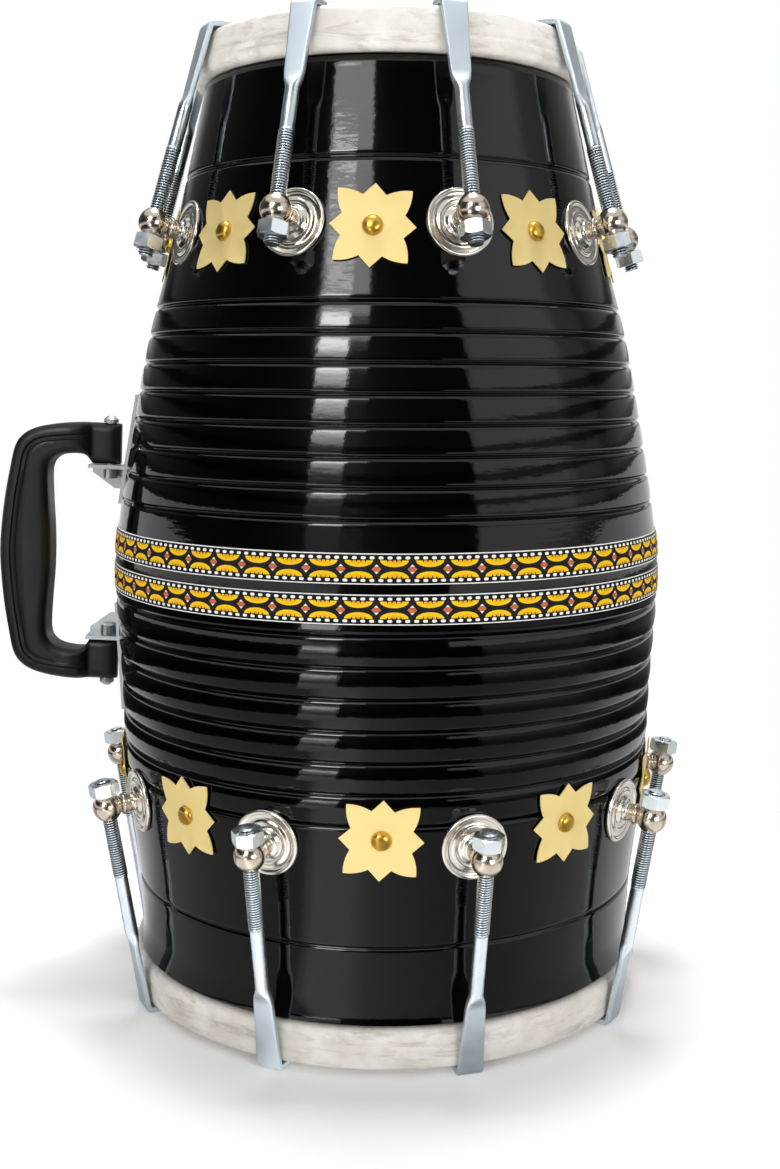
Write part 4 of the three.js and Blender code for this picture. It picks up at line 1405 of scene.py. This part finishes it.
# %% Nail brass
NAIL_DEEP = "#CE9C30"
NAIL_PALE = "#E6BE5C"
NAIL_STAIN = 2 * MM
nail_brass = new_material("brass_nail_polished")
nail_at = add(nail_brass, "TexCoord")
nail_cloud = add(
    nail_brass,
    "TexNoise",
    {"Vector": nail_at.outputs["Object"], "Scale": 1 / NAIL_STAIN, "Detail": 3.0},
)
nail_colour = add(
    nail_brass,
    "Mix",
    {0: nail_cloud.outputs[0], 6: hex_colour(NAIL_DEEP), 7: hex_colour(NAIL_PALE)},
    data_type="RGBA",
)
nail_shade = add(
    nail_brass,
    "BsdfPrincipled",
    {"Base Color": nail_colour.outputs[2], "Metallic": 1.0, "Roughness": 0.3},
)
add(nail_brass, "OutputMaterial", {"Surface": nail_shade.outputs[0]})
print("nail brass with stains", NAIL_STAIN / MM, "mm wide")

# %% [markdown]
# The sheet is thin enough to take the barrel's curve. A flat star would float off the shell at its
# tips, so each point of the outline is laid on the wall: sideways along the arc, and up along the
# slope. The tips still curl off it by half a millimetre. Four straight points and four bulging
# leaves make one outline, whose eighth is drawn, mirrored and turned.

# %% The star's outline
TIP = 19.4
LEAF = 23.4
NOTCH = (5.2, 14.0)
LEAF_BULGE = 1.7
TIP_POINTS = 4
LEAF_POINTS = 6


def star_outline():
    """One eighth, from an upright tip to a leaf's tip, then mirrored and turned round."""
    notch, leaf = Vector(NOTCH), Vector((LEAF, LEAF)) * math.sqrt(0.5)
    way = leaf - notch
    middle = (notch + leaf) / 2 + Vector((-way.y, way.x)).normalized() * LEAF_BULGE
    eighth = [Vector((0, TIP)).lerp(notch, i / TIP_POINTS) for i in range(TIP_POINTS)]
    for i in range(LEAF_POINTS + 1):
        t = i / LEAF_POINTS
        eighth.append(notch * (1 - t) ** 2 + middle * 2 * t * (1 - t) + leaf * t**2)
    quarter = eighth + [Vector((p.y, p.x)) for p in reversed(eighth[1:-1])]
    made = []
    for turn in range(4):
        spin = Matrix.Rotation(-math.pi / 2 * turn, 2)
        made += [spin @ p for p in quarter]
    return made


print("a star of", len(star_outline()), "points,", 2 * TIP, "mm from tip to tip")

# %% Stars and nails laid on the wall
SHEET = 0.5
STAR_OFF = 0.35
CURL = 0.5
NAIL_OFF = 0.3
NAIL_STEPS = 32
NAIL = [
    (4.75, 0.2), (4.7, 0.7), (4.45, 1.3), (3.95, 1.95), (3.2, 2.5), (2.2, 2.9), (1.1, 3.1),
    (0.01, 3.15),
]


def on_wall(angle, height, across, up, off):
    """A point laid on the wall: across along the arc and up along the slope, off it by so much."""
    slope = (wall_radius(height + 1) - wall_radius(height - 1)) / 2
    z = height + up / math.hypot(1, slope)
    radius = wall_radius(height) + slope * (z - height)
    turn = angle + across / radius
    reach = radius + off
    return Vector((math.sin(turn) * reach, -math.cos(turn) * reach, z))


def star_mesh(angle, height, spin):
    """Rings of the outline from the middle out over the front, and back under the sheet."""
    turn = Matrix.Rotation(math.radians(spin), 2)
    outer = [turn @ p for p in star_outline()]
    shares = [0.02, 0.25, 0.45, 0.62, 0.77, 0.9, 1]
    levels = [(s, SHEET + STAR_OFF + CURL * s * s * s) for s in shares]
    levels += [(s, STAR_OFF + CURL * s * s * s) for s in reversed(shares)]
    return skin([[on_wall(angle, height, *(p * s), off) for p in outer] for s, off in levels])


def nail_mesh(angle, height):
    """A dome turned and set square on the wall, with its rim sunk a little into the sheet."""
    points, faces = turned(NAIL, NAIL_STEPS)
    out = on_wall(angle, height, 0, 0, 1) - on_wall(angle, height, 0, 0, 0)
    up = on_wall(angle, height, 0, 1, 0) - on_wall(angle, height, 0, -1, 0)
    side = up.cross(out).normalized()
    normal = side.cross(up).normalized()
    matrix = Matrix((side, up.normalized(), normal)).transposed().to_4x4()
    matrix.translation = on_wall(angle, height, 0, 0, SHEET + NAIL_OFF)
    return [matrix @ p for p in points], faces


# %% Stars
STAR_HEIGHTS = {"treble": 387.4, "bass": 113.9}
# How far each star is turned on its nail, and nailed off the middle between its studs, in degrees.
STAR_SPINS = [2, -3, 1, 4, -2, 3, -1, 2, -4]
STAR_NUDGES = {
    "treble": [0, -0.6, 0.3, 0, 0.5, -0.4, 0, 0.6, -0.3],
    "bass": [0.4, 2.3, 0.3, -0.8, 0, 0.6, -0.5, 0, 0.7],
}
for end, facts in ends.items():
    first = Vector(joints[f"{end}_nut_1_turn"]["pos_m"])
    start = math.atan2(first.x, -first.y)
    for i, (spin, nudge) in enumerate(zip(STAR_SPINS, STAR_NUDGES[end]), start=1):
        angle = start + math.radians(20 + 40 * (i - 1) + nudge)
        height = STAR_HEIGHTS[end]
        star = mesh_of(f"{end}_star_{i}", star_mesh(angle, height, spin), brass, sharp=50)
        put(f"{end}_star_{i}", star, "drum")
        nail = mesh_of(f"{end}_nail_{i}", nail_mesh(angle, height), nail_brass, sharp=60)
        put(f"{end}_nail_{i}", nail, "drum")
print("18 stars and nails, between studs that start at", round(math.degrees(start), 1), "degrees")

# %% [markdown]
# ## Woven tapes
#
# Two jacquard ribbons are glued round the waist. Their pattern repeats about every 15.7 mm: yellow
# half-moons along both edges, small brick-red diamonds between them, a row of white dashes and a
# white selvedge. It is a common edging pattern, so it is drawn by formula. The mesh carries a map
# whose first number counts repeats round the drum and whose second runs across the ribbon, and each
# motif is an inequality in those two numbers, so its sizes below are shares of a repeat or of the
# width. Everything is mirrored about the ribbon's middle line, so the second number is folded.

# %% Along and across the tape
tape = new_material("polyester_jacquard_ribbon_woven")
tape_at = add(tape, "TexCoord")
tape_xy = add(tape, "SeparateXYZ", {0: tape_at.outputs["UV"]})
across = add(tape, "Math", {0: tape_xy.outputs[1], 1: 0.5}, operation="SUBTRACT")
fold = add(tape, "Math", {0: across.outputs[0]}, operation="ABSOLUTE")
repeat = add(tape, "Math", {0: tape_xy.outputs[0]}, operation="FRACT")
along = add(tape, "Math", {0: repeat.outputs[0], 1: 0.5}, operation="SUBTRACT")
along_fold = add(tape, "Math", {0: along.outputs[0]}, operation="ABSOLUTE")
print("tape folded about its middle line")

# %% Half-moons
# An ellipse whose flat side faces the edge.
MOON_EDGE = 0.285
MOON_HALF = 0.4
MOON_HIGH = 0.215
moon_x = add(tape, "Math", {0: along.outputs[0], 1: MOON_HALF}, operation="DIVIDE")
moon_xx = add(tape, "Math", {0: moon_x.outputs[0], 1: moon_x.outputs[0]}, operation="MULTIPLY")
moon_y = add(tape, "Math", {0: fold.outputs[0], 1: MOON_EDGE}, operation="SUBTRACT")
moon_yy = add(tape, "Math", {0: moon_y.outputs[0], 1: MOON_HIGH}, operation="DIVIDE")
moon_yyy = add(tape, "Math", {0: moon_yy.outputs[0], 1: moon_yy.outputs[0]}, operation="MULTIPLY")
moon_sum = add(tape, "Math", {0: moon_xx.outputs[0], 1: moon_yyy.outputs[0]}, operation="ADD")
moon_in = add(tape, "Math", {0: moon_sum.outputs[0], 1: 1.0}, operation="LESS_THAN")
moon_flat = add(tape, "Math", {0: fold.outputs[0], 1: MOON_EDGE}, operation="LESS_THAN")
moon = add(tape, "Math", {0: moon_in.outputs[0], 1: moon_flat.outputs[0]}, operation="MULTIPLY")
print("a half-moon", 2 * MOON_HALF, "of a repeat long")

# %% Notches and lattice
# Short dark stitches cut into the half-moon's flat side, and a dark grey line follows its round
# side and crosses the next one's.
NOTCHES = 8.0
NOTCH_DEEP = 0.075
NOTCH_TAPER = 2.6
NOTCHED_HALF = 0.27
LINE_FROM = 1.32
LINE_TO = 1.75
notch_wave = add(tape, "Math", {0: tape_xy.outputs[0], 1: NOTCHES}, operation="MULTIPLY")
notch_fract = add(tape, "Math", {0: notch_wave.outputs[0]}, operation="FRACT")
notch_near = add(tape, "Math", {0: notch_fract.outputs[0], 1: 0.5}, operation="SUBTRACT")
notch_width = add(tape, "Math", {0: notch_near.outputs[0]}, operation="ABSOLUTE")
notch_depth = add(
    tape, "Math", {0: fold.outputs[0], 1: MOON_EDGE - NOTCH_DEEP}, operation="SUBTRACT"
)
notch_taper = add(tape, "Math", {0: notch_depth.outputs[0], 1: NOTCH_TAPER}, operation="MULTIPLY")
notch_in = add(
    tape, "Math", {0: notch_width.outputs[0], 1: notch_taper.outputs[0]}, operation="LESS_THAN"
)
notch_inner = add(tape, "Math", {0: along_fold.outputs[0], 1: NOTCHED_HALF}, operation="LESS_THAN")
notches = add(
    tape, "Math", {0: notch_in.outputs[0], 1: notch_inner.outputs[0]}, operation="MULTIPLY"
)
notch_out = add(tape, "Math", {0: 1.0, 1: notches.outputs[0]}, operation="SUBTRACT")
moon_cut = add(tape, "Math", {0: moon.outputs[0], 1: notch_out.outputs[0]}, operation="MULTIPLY")
line_low = add(tape, "Math", {0: moon_sum.outputs[0], 1: LINE_FROM}, operation="GREATER_THAN")
line_high = add(tape, "Math", {0: moon_sum.outputs[0], 1: LINE_TO}, operation="LESS_THAN")
line_band = add(
    tape, "Math", {0: line_low.outputs[0], 1: line_high.outputs[0]}, operation="MULTIPLY"
)
lattice = add(
    tape, "Math", {0: line_band.outputs[0], 1: moon_flat.outputs[0]}, operation="MULTIPLY"
)
print(NOTCHES, "stitches to a repeat")

# %% Diamonds
# A diamond sits where two repeats meet, and its upper and lower tips are white.
DIAMOND_LONG = 0.14
DIAMOND_HIGH = 0.155
WHITE_TIP = 0.088
to_seam = add(tape, "Math", {0: 0.5, 1: along_fold.outputs[0]}, operation="SUBTRACT")
diamond_x = add(tape, "Math", {0: to_seam.outputs[0], 1: DIAMOND_LONG}, operation="DIVIDE")
diamond_y = add(tape, "Math", {0: fold.outputs[0], 1: DIAMOND_HIGH}, operation="DIVIDE")
diamond_sum = add(tape, "Math", {0: diamond_x.outputs[0], 1: diamond_y.outputs[0]}, operation="ADD")
diamond = add(tape, "Math", {0: diamond_sum.outputs[0], 1: 1.0}, operation="LESS_THAN")
tip_out = add(tape, "Math", {0: fold.outputs[0], 1: WHITE_TIP}, operation="GREATER_THAN")
diamond_tip = add(
    tape, "Math", {0: diamond.outputs[0], 1: tip_out.outputs[0]}, operation="MULTIPLY"
)
print("a diamond", 2 * DIAMOND_LONG, "of a repeat long")

# %% Dashes and selvedge
# A dash is a rectangle with round corners: the cubes of its two shares add up to less than 1.
DASHES = 4.0
DASH_LONG = 0.27
DASH_MIDDLE = 0.363
DASH_HIGH = 0.048
SELVEDGE = 0.468
dash_wave = add(tape, "Math", {0: tape_xy.outputs[0], 1: DASHES}, operation="MULTIPLY")
dash_fract = add(tape, "Math", {0: dash_wave.outputs[0]}, operation="FRACT")
dash_near = add(tape, "Math", {0: dash_fract.outputs[0], 1: 0.5}, operation="SUBTRACT")
dash_x = add(tape, "Math", {0: dash_near.outputs[0], 1: DASH_LONG}, operation="DIVIDE")
dash_y = add(tape, "Math", {0: fold.outputs[0], 1: DASH_MIDDLE}, operation="SUBTRACT")
dash_yy = add(tape, "Math", {0: dash_y.outputs[0], 1: DASH_HIGH}, operation="DIVIDE")
dash_x_abs = add(tape, "Math", {0: dash_x.outputs[0]}, operation="ABSOLUTE")
dash_y_abs = add(tape, "Math", {0: dash_yy.outputs[0]}, operation="ABSOLUTE")
dash_x_round = add(tape, "Math", {0: dash_x_abs.outputs[0], 1: 3.0}, operation="POWER")
dash_y_round = add(tape, "Math", {0: dash_y_abs.outputs[0], 1: 3.0}, operation="POWER")
dash_sum = add(
    tape, "Math", {0: dash_x_round.outputs[0], 1: dash_y_round.outputs[0]}, operation="ADD"
)
dash = add(tape, "Math", {0: dash_sum.outputs[0], 1: 1.0}, operation="LESS_THAN")
selvedge = add(tape, "Math", {0: fold.outputs[0], 1: SELVEDGE}, operation="GREATER_THAN")
white_one = add(tape, "Math", {0: dash.outputs[0], 1: selvedge.outputs[0]}, operation="MAXIMUM")
white = add(tape, "Math", {0: white_one.outputs[0], 1: diamond_tip.outputs[0]}, operation="MAXIMUM")
print(DASHES, "dashes to a repeat")

# %% Tape colours and weave
# Polyester thread is matt and lies in ridges. Real ones are about 0.2 mm apart, which the render
# can't show, so they are drawn 0.45 mm apart. The yellow is deeper in the middle of a half-moon.
MOON_YELLOW = "#F2C400"
MOON_DEEP = "#D58606"
GROUND = "#070608"
LATTICE = "#1A1A1C"
BRICK = "#BE6A48"
WHITE_THREAD = "#F2F1EE"
THREAD = 0.45 * MM
weave_at = add(
    tape,
    "Mapping",
    {"Vector": tape_at.outputs["Object"], "Scale": (1 / THREAD, 1 / THREAD, 1 / THREAD)},
)
weave = add(tape, "TexNoise", {"Vector": weave_at.outputs[0], "Scale": 1.0, "Detail": 1.0})
glow = add(tape, "MapRange", {0: moon_sum.outputs[0], 1: 0.0, 2: 0.6, 3: 1.0, 4: 0.0})
glow_patchy = add(tape, "Math", {0: glow.outputs[0], 1: weave.outputs[0]}, operation="MULTIPLY")
yellow = add(
    tape,
    "Mix",
    {0: glow_patchy.outputs[0], 6: hex_colour(MOON_YELLOW), 7: hex_colour(MOON_DEEP)},
    data_type="RGBA",
)
ground = add(
    tape,
    "Mix",
    {0: lattice.outputs[0], 6: hex_colour(GROUND), 7: hex_colour(LATTICE)},
    data_type="RGBA",
)
with_moons = add(
    tape,
    "Mix",
    {0: moon_cut.outputs[0], 6: ground.outputs[2], 7: yellow.outputs[2]},
    data_type="RGBA",
)
with_diamonds = add(
    tape,
    "Mix",
    {0: diamond.outputs[0], 6: with_moons.outputs[2], 7: hex_colour(BRICK)},
    data_type="RGBA",
)
with_white = add(
    tape,
    "Mix",
    {0: white.outputs[0], 6: with_diamonds.outputs[2], 7: hex_colour(WHITE_THREAD)},
    data_type="RGBA",
)
weave_bump = add(tape, "Bump", {"Height": weave.outputs[0], "Strength": 1.0, "Distance": 0.12 * MM})
ribbon = add(
    tape,
    "BsdfPrincipled",
    {
        "Base Color": with_white.outputs[2],
        "Roughness": 0.7,
        "IOR": 1.5,
        "Specular IOR Level": 0.2,
        "Normal": weave_bump.outputs[0],
    },
)
add(tape, "OutputMaterial", {"Surface": ribbon.outputs[0]})
print("ribbon with threads", THREAD / MM, "mm apart")

# %% Tapes
# Each tape lies on the wall between two heights. The rows run up its inner side and down its outer
# one, and the outer side falls off towards the edges.
TAPE_HEIGHTS = [(231.0, 244.5), (213.0, 226.5)]
TAPE_REPEATS = 57
TAPE_STEPS = 228
TAPE_START = 0.28
TAPE_THICK = 0.55
TAPE_OFF = 0.15
TAPE_ROWS = 8
TAPE_FALL = 0.25
for number, (low, high) in enumerate(TAPE_HEIGHTS, start=1):
    points, faces, maps = [], [], []
    for i in range(TAPE_STEPS + 1):
        turn = 2 * math.pi * i / TAPE_STEPS
        for side, off in ((0, TAPE_OFF), (1, TAPE_OFF + TAPE_THICK)):
            for row in range(TAPE_ROWS + 1):
                share = row / TAPE_ROWS
                z = low + (high - low) * share
                ease = TAPE_FALL * (abs(2 * share - 1) ** 6) * side
                reach = wall_radius(z) + off - ease
                points.append(Vector((math.sin(turn) * reach, -math.cos(turn) * reach, z)))
                maps.append((TAPE_START + i * TAPE_REPEATS / TAPE_STEPS, share))
    width = 2 * (TAPE_ROWS + 1)
    loop_rows = list(range(TAPE_ROWS, -1, -1)) + list(range(TAPE_ROWS + 1, width))
    for i in range(TAPE_STEPS):
        for a, b in zip(loop_rows, loop_rows[1:] + loop_rows[:1]):
            faces.append((i * width + a, i * width + b, (i + 1) * width + b, (i + 1) * width + a))
    data = bpy.data.meshes.new(f"tape_{number}")
    data.from_pydata([tuple(p * MM) for p in points], [], faces)
    layer = data.uv_layers.new(name="repeats")
    for loop in data.loops:
        layer.data[loop.index].uv = maps[loop.vertex_index]
    data.polygons.foreach_set("use_smooth", [True] * len(data.polygons))
    data.set_sharp_from_angle(angle=math.radians(50))
    data.materials.append(tape)
    put(f"tape_{number}", data, "drum")
girth = 2 * math.pi * wall_radius(TAPE_HEIGHTS[0][0])
print("two tapes of", TAPE_REPEATS, "repeats, one every", round(girth / TAPE_REPEATS, 1), "mm")

# %% [markdown]
# ## The carry handle
#
# The handle is an instrument-case handle moulded in black nylon. It is thick in the grip, thins at
# the arms and ends in two round bosses. Its surface is satin, from the spark-eroded mould, and
# glossier where hands have rubbed it. The mould's grain is a tenth of a millimetre, so it is drawn
# at 0.7 mm. Two fine grooves run along its outer edge. It is one bar that follows a C, so it is
# made as a sweep: at each station a rounded rectangle spans from the inner to the outer outline.

# %% Nylon
NYLON_DARK = "#080809"
NYLON_RUBBED = "#0D0D0E"
nylon = new_material("nylon_moulded_satin")
nylon_at = add(nylon, "TexCoord")
SPARK = 0.7 * MM
spark = add(
    nylon, "TexNoise", {"Vector": nylon_at.outputs["Object"], "Scale": 1 / SPARK, "Detail": 2.0}
)
RUB = 18 * MM
rub = add(
    nylon, "TexNoise", {"Vector": nylon_at.outputs["Object"], "Scale": 1 / RUB, "Detail": 3.0}
)
nylon_gloss = add(nylon, "MapRange", {0: rub.outputs[0], 1: 0.3, 2: 0.7, 3: 0.36, 4: 0.5})
nylon_colour = add(
    nylon,
    "Mix",
    {0: rub.outputs[0], 6: hex_colour(NYLON_DARK), 7: hex_colour(NYLON_RUBBED)},
    data_type="RGBA",
)
spark_bump = add(
    nylon, "Bump", {"Height": spark.outputs[0], "Strength": 1.0, "Distance": 0.012 * MM}
)
nylon_shade = add(
    nylon,
    "BsdfPrincipled",
    {
        "Base Color": nylon_colour.outputs[2],
        "Roughness": nylon_gloss.outputs[0],
        "IOR": 1.53,
        "Normal": spark_bump.outputs[0],
    },
)
add(nylon, "OutputMaterial", {"Surface": nylon_shade.outputs[0]})
print("nylon with a grain of", SPARK / MM, "mm")

# %% Stations of the handle
# From the arm's end to the middle of the grip: outer point, inner point and half thickness. A
# point's first number runs out from the pivot, and its second along the pivot's axis.
STATIONS = [
    ((-5.6, 68.4), (-5.6, 47.4), 2.2), ((-4.6, 68.6), (-4.6, 47.1), 3.9),
    ((-2.4, 68.7), (-2.4, 47.1), 5.3), ((1, 68.7), (1, 47.1), 5.8), ((6, 68.7), (6, 47.1), 5.8),
    ((8.8, 68.7), (8.9, 47.2), 5.9), ((10.4, 68.6), (9.9, 48.6), 7.0),
    ((12.6, 68.6), (11.4, 50.9), 8.7), ((15.4, 68.5), (13.8, 52.1), 10.2),
    ((20, 68.2), (17.6, 52.3), 11), ((26, 67.6), (21.5, 51.9), 11), ((32, 66.6), (24.5, 51.2), 11),
    ((38, 65.0), (27, 50.2), 11), ((43, 62.5), (29.0, 48.6), 11), ((46.8, 59.0), (30.5, 46.6), 11),
    ((49.0, 54.8), (31.3, 44), 11), ((50.4, 49.5), (31.6, 40.5), 11),
    ((51.5, 43.5), (31.5, 36), 11), ((52.9, 36), (31.2, 30), 11), ((54.3, 27), (30.7, 22), 11),
    ((55.7, 14), (30.0, 12), 11), ((56.5, 0), (29.7, 0), 11),
]
EDGE_ROUND = 4.6
CORNER_STEPS = 6
# How far each groove is from the outer edge, and how deep.
CREASES = ((5.6, 0.55), (8.3, 0.45))
CREASE_HALF = 0.55


def between(before, here, there, after, t):
    """A smooth curve through the four values, from here to there."""
    a = -before + 3 * here - 3 * there + after
    b = 2 * before - 5 * here + 4 * there - after
    return 0.5 * (2 * here + (there - before) * t + b * t**2 + a * t**3)


def bar_section(outer, inner, thick):
    """A rounded rectangle from the outer to the inner point, creased near its outer edge."""
    length = (outer - inner).length
    way = (inner - outer).normalized()
    curve = min(EDGE_ROUND, thick * 0.8, length * 0.3)
    one_side = []
    for i in range(CORNER_STEPS + 1):
        angle = math.pi / 2 * i / CORNER_STEPS
        one_side.append((curve * (1 - math.cos(angle)), thick - curve * (1 - math.sin(angle))))
    for start, depth in CREASES:
        fade = min(1, max(0, (thick - 6) / 4))
        for offset, cut in ((-CREASE_HALF, 0), (0, 1), (CREASE_HALF, 0)):
            one_side.append((max(start, curve) + offset + 0.6, thick - depth * cut * fade))
    one_side.append((length * 0.55, thick + 0.05))
    for i in range(CORNER_STEPS + 1):
        angle = math.pi / 2 * (1 - i / CORNER_STEPS)
        back = length - curve * (1 - math.cos(angle))
        one_side.append((back, thick - curve * (1 - math.sin(angle))))
    full = one_side + [(c, -y) for c, y in reversed(one_side)]
    return [Vector((outer.x + way.x * c, y, outer.y + way.y * c)) for c, y in full]


print("a handle from", len(STATIONS), "stations a side")

# %% Handle
BETWEEN_STATIONS = 3


def handle_rings():
    """The stations of one arm, mirrored to the other, with sections on a curve through them."""
    half = [(Vector(o), Vector(i), t) for o, i, t in STATIONS]
    whole = half + [
        (Vector((o.x, -o.y)), Vector((i.x, -i.y)), t) for o, i, t in reversed(half[:-1])
    ]
    rings = []
    for k in range(len(whole) - 1):
        row = [whole[min(max(k + j, 0), len(whole) - 1)] for j in (-1, 0, 1, 2)]
        for step in range(BETWEEN_STATIONS):
            share = step / BETWEEN_STATIONS
            outer, inner, thick = (between(*values, share) for values in zip(*row))
            rings.append(bar_section(outer, inner, thick))
    rings.append(bar_section(*whole[-1]))
    return rings


swing = joints["handle_swing"]
pivot_axis = Vector(swing["axis"])
outward = Vector((-1, 0, 0))
sideways = pivot_axis.cross(outward).normalized()
outward = sideways.cross(pivot_axis).normalized()
handle_matrix = Matrix((outward, sideways, pivot_axis)).transposed().to_4x4()
handle_matrix.translation = Vector(swing["pos_m"])
handle_data = mesh_of("carry_handle_moulded", skin(handle_rings()), nylon, sharp=40)
put(
    "carry_handle_moulded", handle_data, "handle", ["carry_handle"], handle_matrix
)
print("handle of", len(handle_data.polygons), "faces")

# %% [markdown]
# ## Brackets
#
# The two brackets are pressed from 2 mm steel strip and zinc plated in a barrel, which leaves them
# greyer and duller than the bolts, with rubbed lines along the strip. Their solids already have the
# strip, the tab, the gusset and the riveted bolt, so they keep their shape and get this finish.

# %% Brackets
STRIP_DARK = "#A3A7A9"
STRIP_PALE = "#CBCFD0"
strip_steel = new_material("steel_strip_pressed_zinc_plated")
strip_at = add(strip_steel, "TexCoord")
RUB_WIDE = 0.6 * MM
RUB_LONG = 14 * MM
rubbed_at = add(
    strip_steel,
    "Mapping",
    {"Vector": strip_at.outputs["Object"], "Scale": (1 / RUB_WIDE, 1 / RUB_WIDE, 1 / RUB_LONG)},
)
rubbed = add(strip_steel, "TexNoise", {"Vector": rubbed_at.outputs[0], "Scale": 1.0, "Detail": 3.0})
strip_colour = add(
    strip_steel,
    "Mix",
    {0: rubbed.outputs[0], 6: hex_colour(STRIP_DARK), 7: hex_colour(STRIP_PALE)},
    data_type="RGBA",
)
strip_gloss = add(strip_steel, "MapRange", {0: rubbed.outputs[0], 1: 0.3, 2: 0.7, 3: 0.28, 4: 0.42})
rubbed_bump = add(
    strip_steel, "Bump", {"Height": rubbed.outputs[0], "Strength": 1.0, "Distance": 0.02 * MM}
)
strip_shade = add(
    strip_steel,
    "BsdfPrincipled",
    {
        "Base Color": strip_colour.outputs[2],
        "Metallic": 1.0,
        "Roughness": strip_gloss.outputs[0],
        "Normal": rubbed_bump.outputs[0],
    },
)
add(strip_steel, "OutputMaterial", {"Surface": strip_shade.outputs[0]})
for name in ("upper_bracket", "lower_bracket"):
    nodes[name].data.materials.clear()
    nodes[name].data.materials.append(strip_steel)
print("two brackets with their own finish")

# %% [markdown]
# ## Flags for the lamps
#
# A lamp that lights the brass and the zinc would also show in the black lacquer as a grey patch. A
# photographer hangs a flag between the two. Blender's flag is light linking: a lamp gets a
# collection whose pieces are either left out of its light or the only ones let in. The lamps leave
# out the lacquered shell and the black handle, and the overhead one the playing face too, which
# has its own lamp. Each veil is seen by the plated pieces that need it, and the floor's also by
# the lower stars.

# %% Flags
def linked(name, things, state):
    """A collection for light linking, with every piece in it left out or let in."""
    collection = bpy.data.collections.new(name)
    for thing in things:
        collection.objects.link(thing)
    for entry in collection.collection_objects:
        entry.light_linking.link_state = state
    return collection


black = [bpy.data.objects[name] for name in ("shell_turned", "carry_handle_moulded")]
playing_face = bpy.data.objects["treble_face"]
key_softbox.light_linking.receiver_collection = linked("flagged_from_lamps", black, "EXCLUDE")
fill_softbox.light_linking.receiver_collection = key_softbox.light_linking.receiver_collection
overhead_softbox.light_linking.receiver_collection = linked(
    "flagged_from_overhead", [*black, playing_face], "EXCLUDE"
)
face_softbox.light_linking.receiver_collection = linked(
    "lit_by_face_softbox", [playing_face], "INCLUDE"
)
print("flagged from the lamps:", [thing.name for thing in black])

# %% Who sees the veils
SEES = {
    "floor_veil": ("bass_hex", "bass_bolt", "bass_post", "bass_star"),
    "room_veil": ("treble_hex",),
}
for name, prefixes in SEES.items():
    seeing = [thing for thing in bpy.data.objects if thing.name.startswith(prefixes)]
    receivers = linked(f"sees_{name}", seeing, "INCLUDE")
    bpy.data.objects[name].light_linking.receiver_collection = receivers
    print(name, "is seen by", len(seeing), "pieces")

# %% Sizes
print("CAD box", [[round(c, 4) for c in v] for v in cad_box])
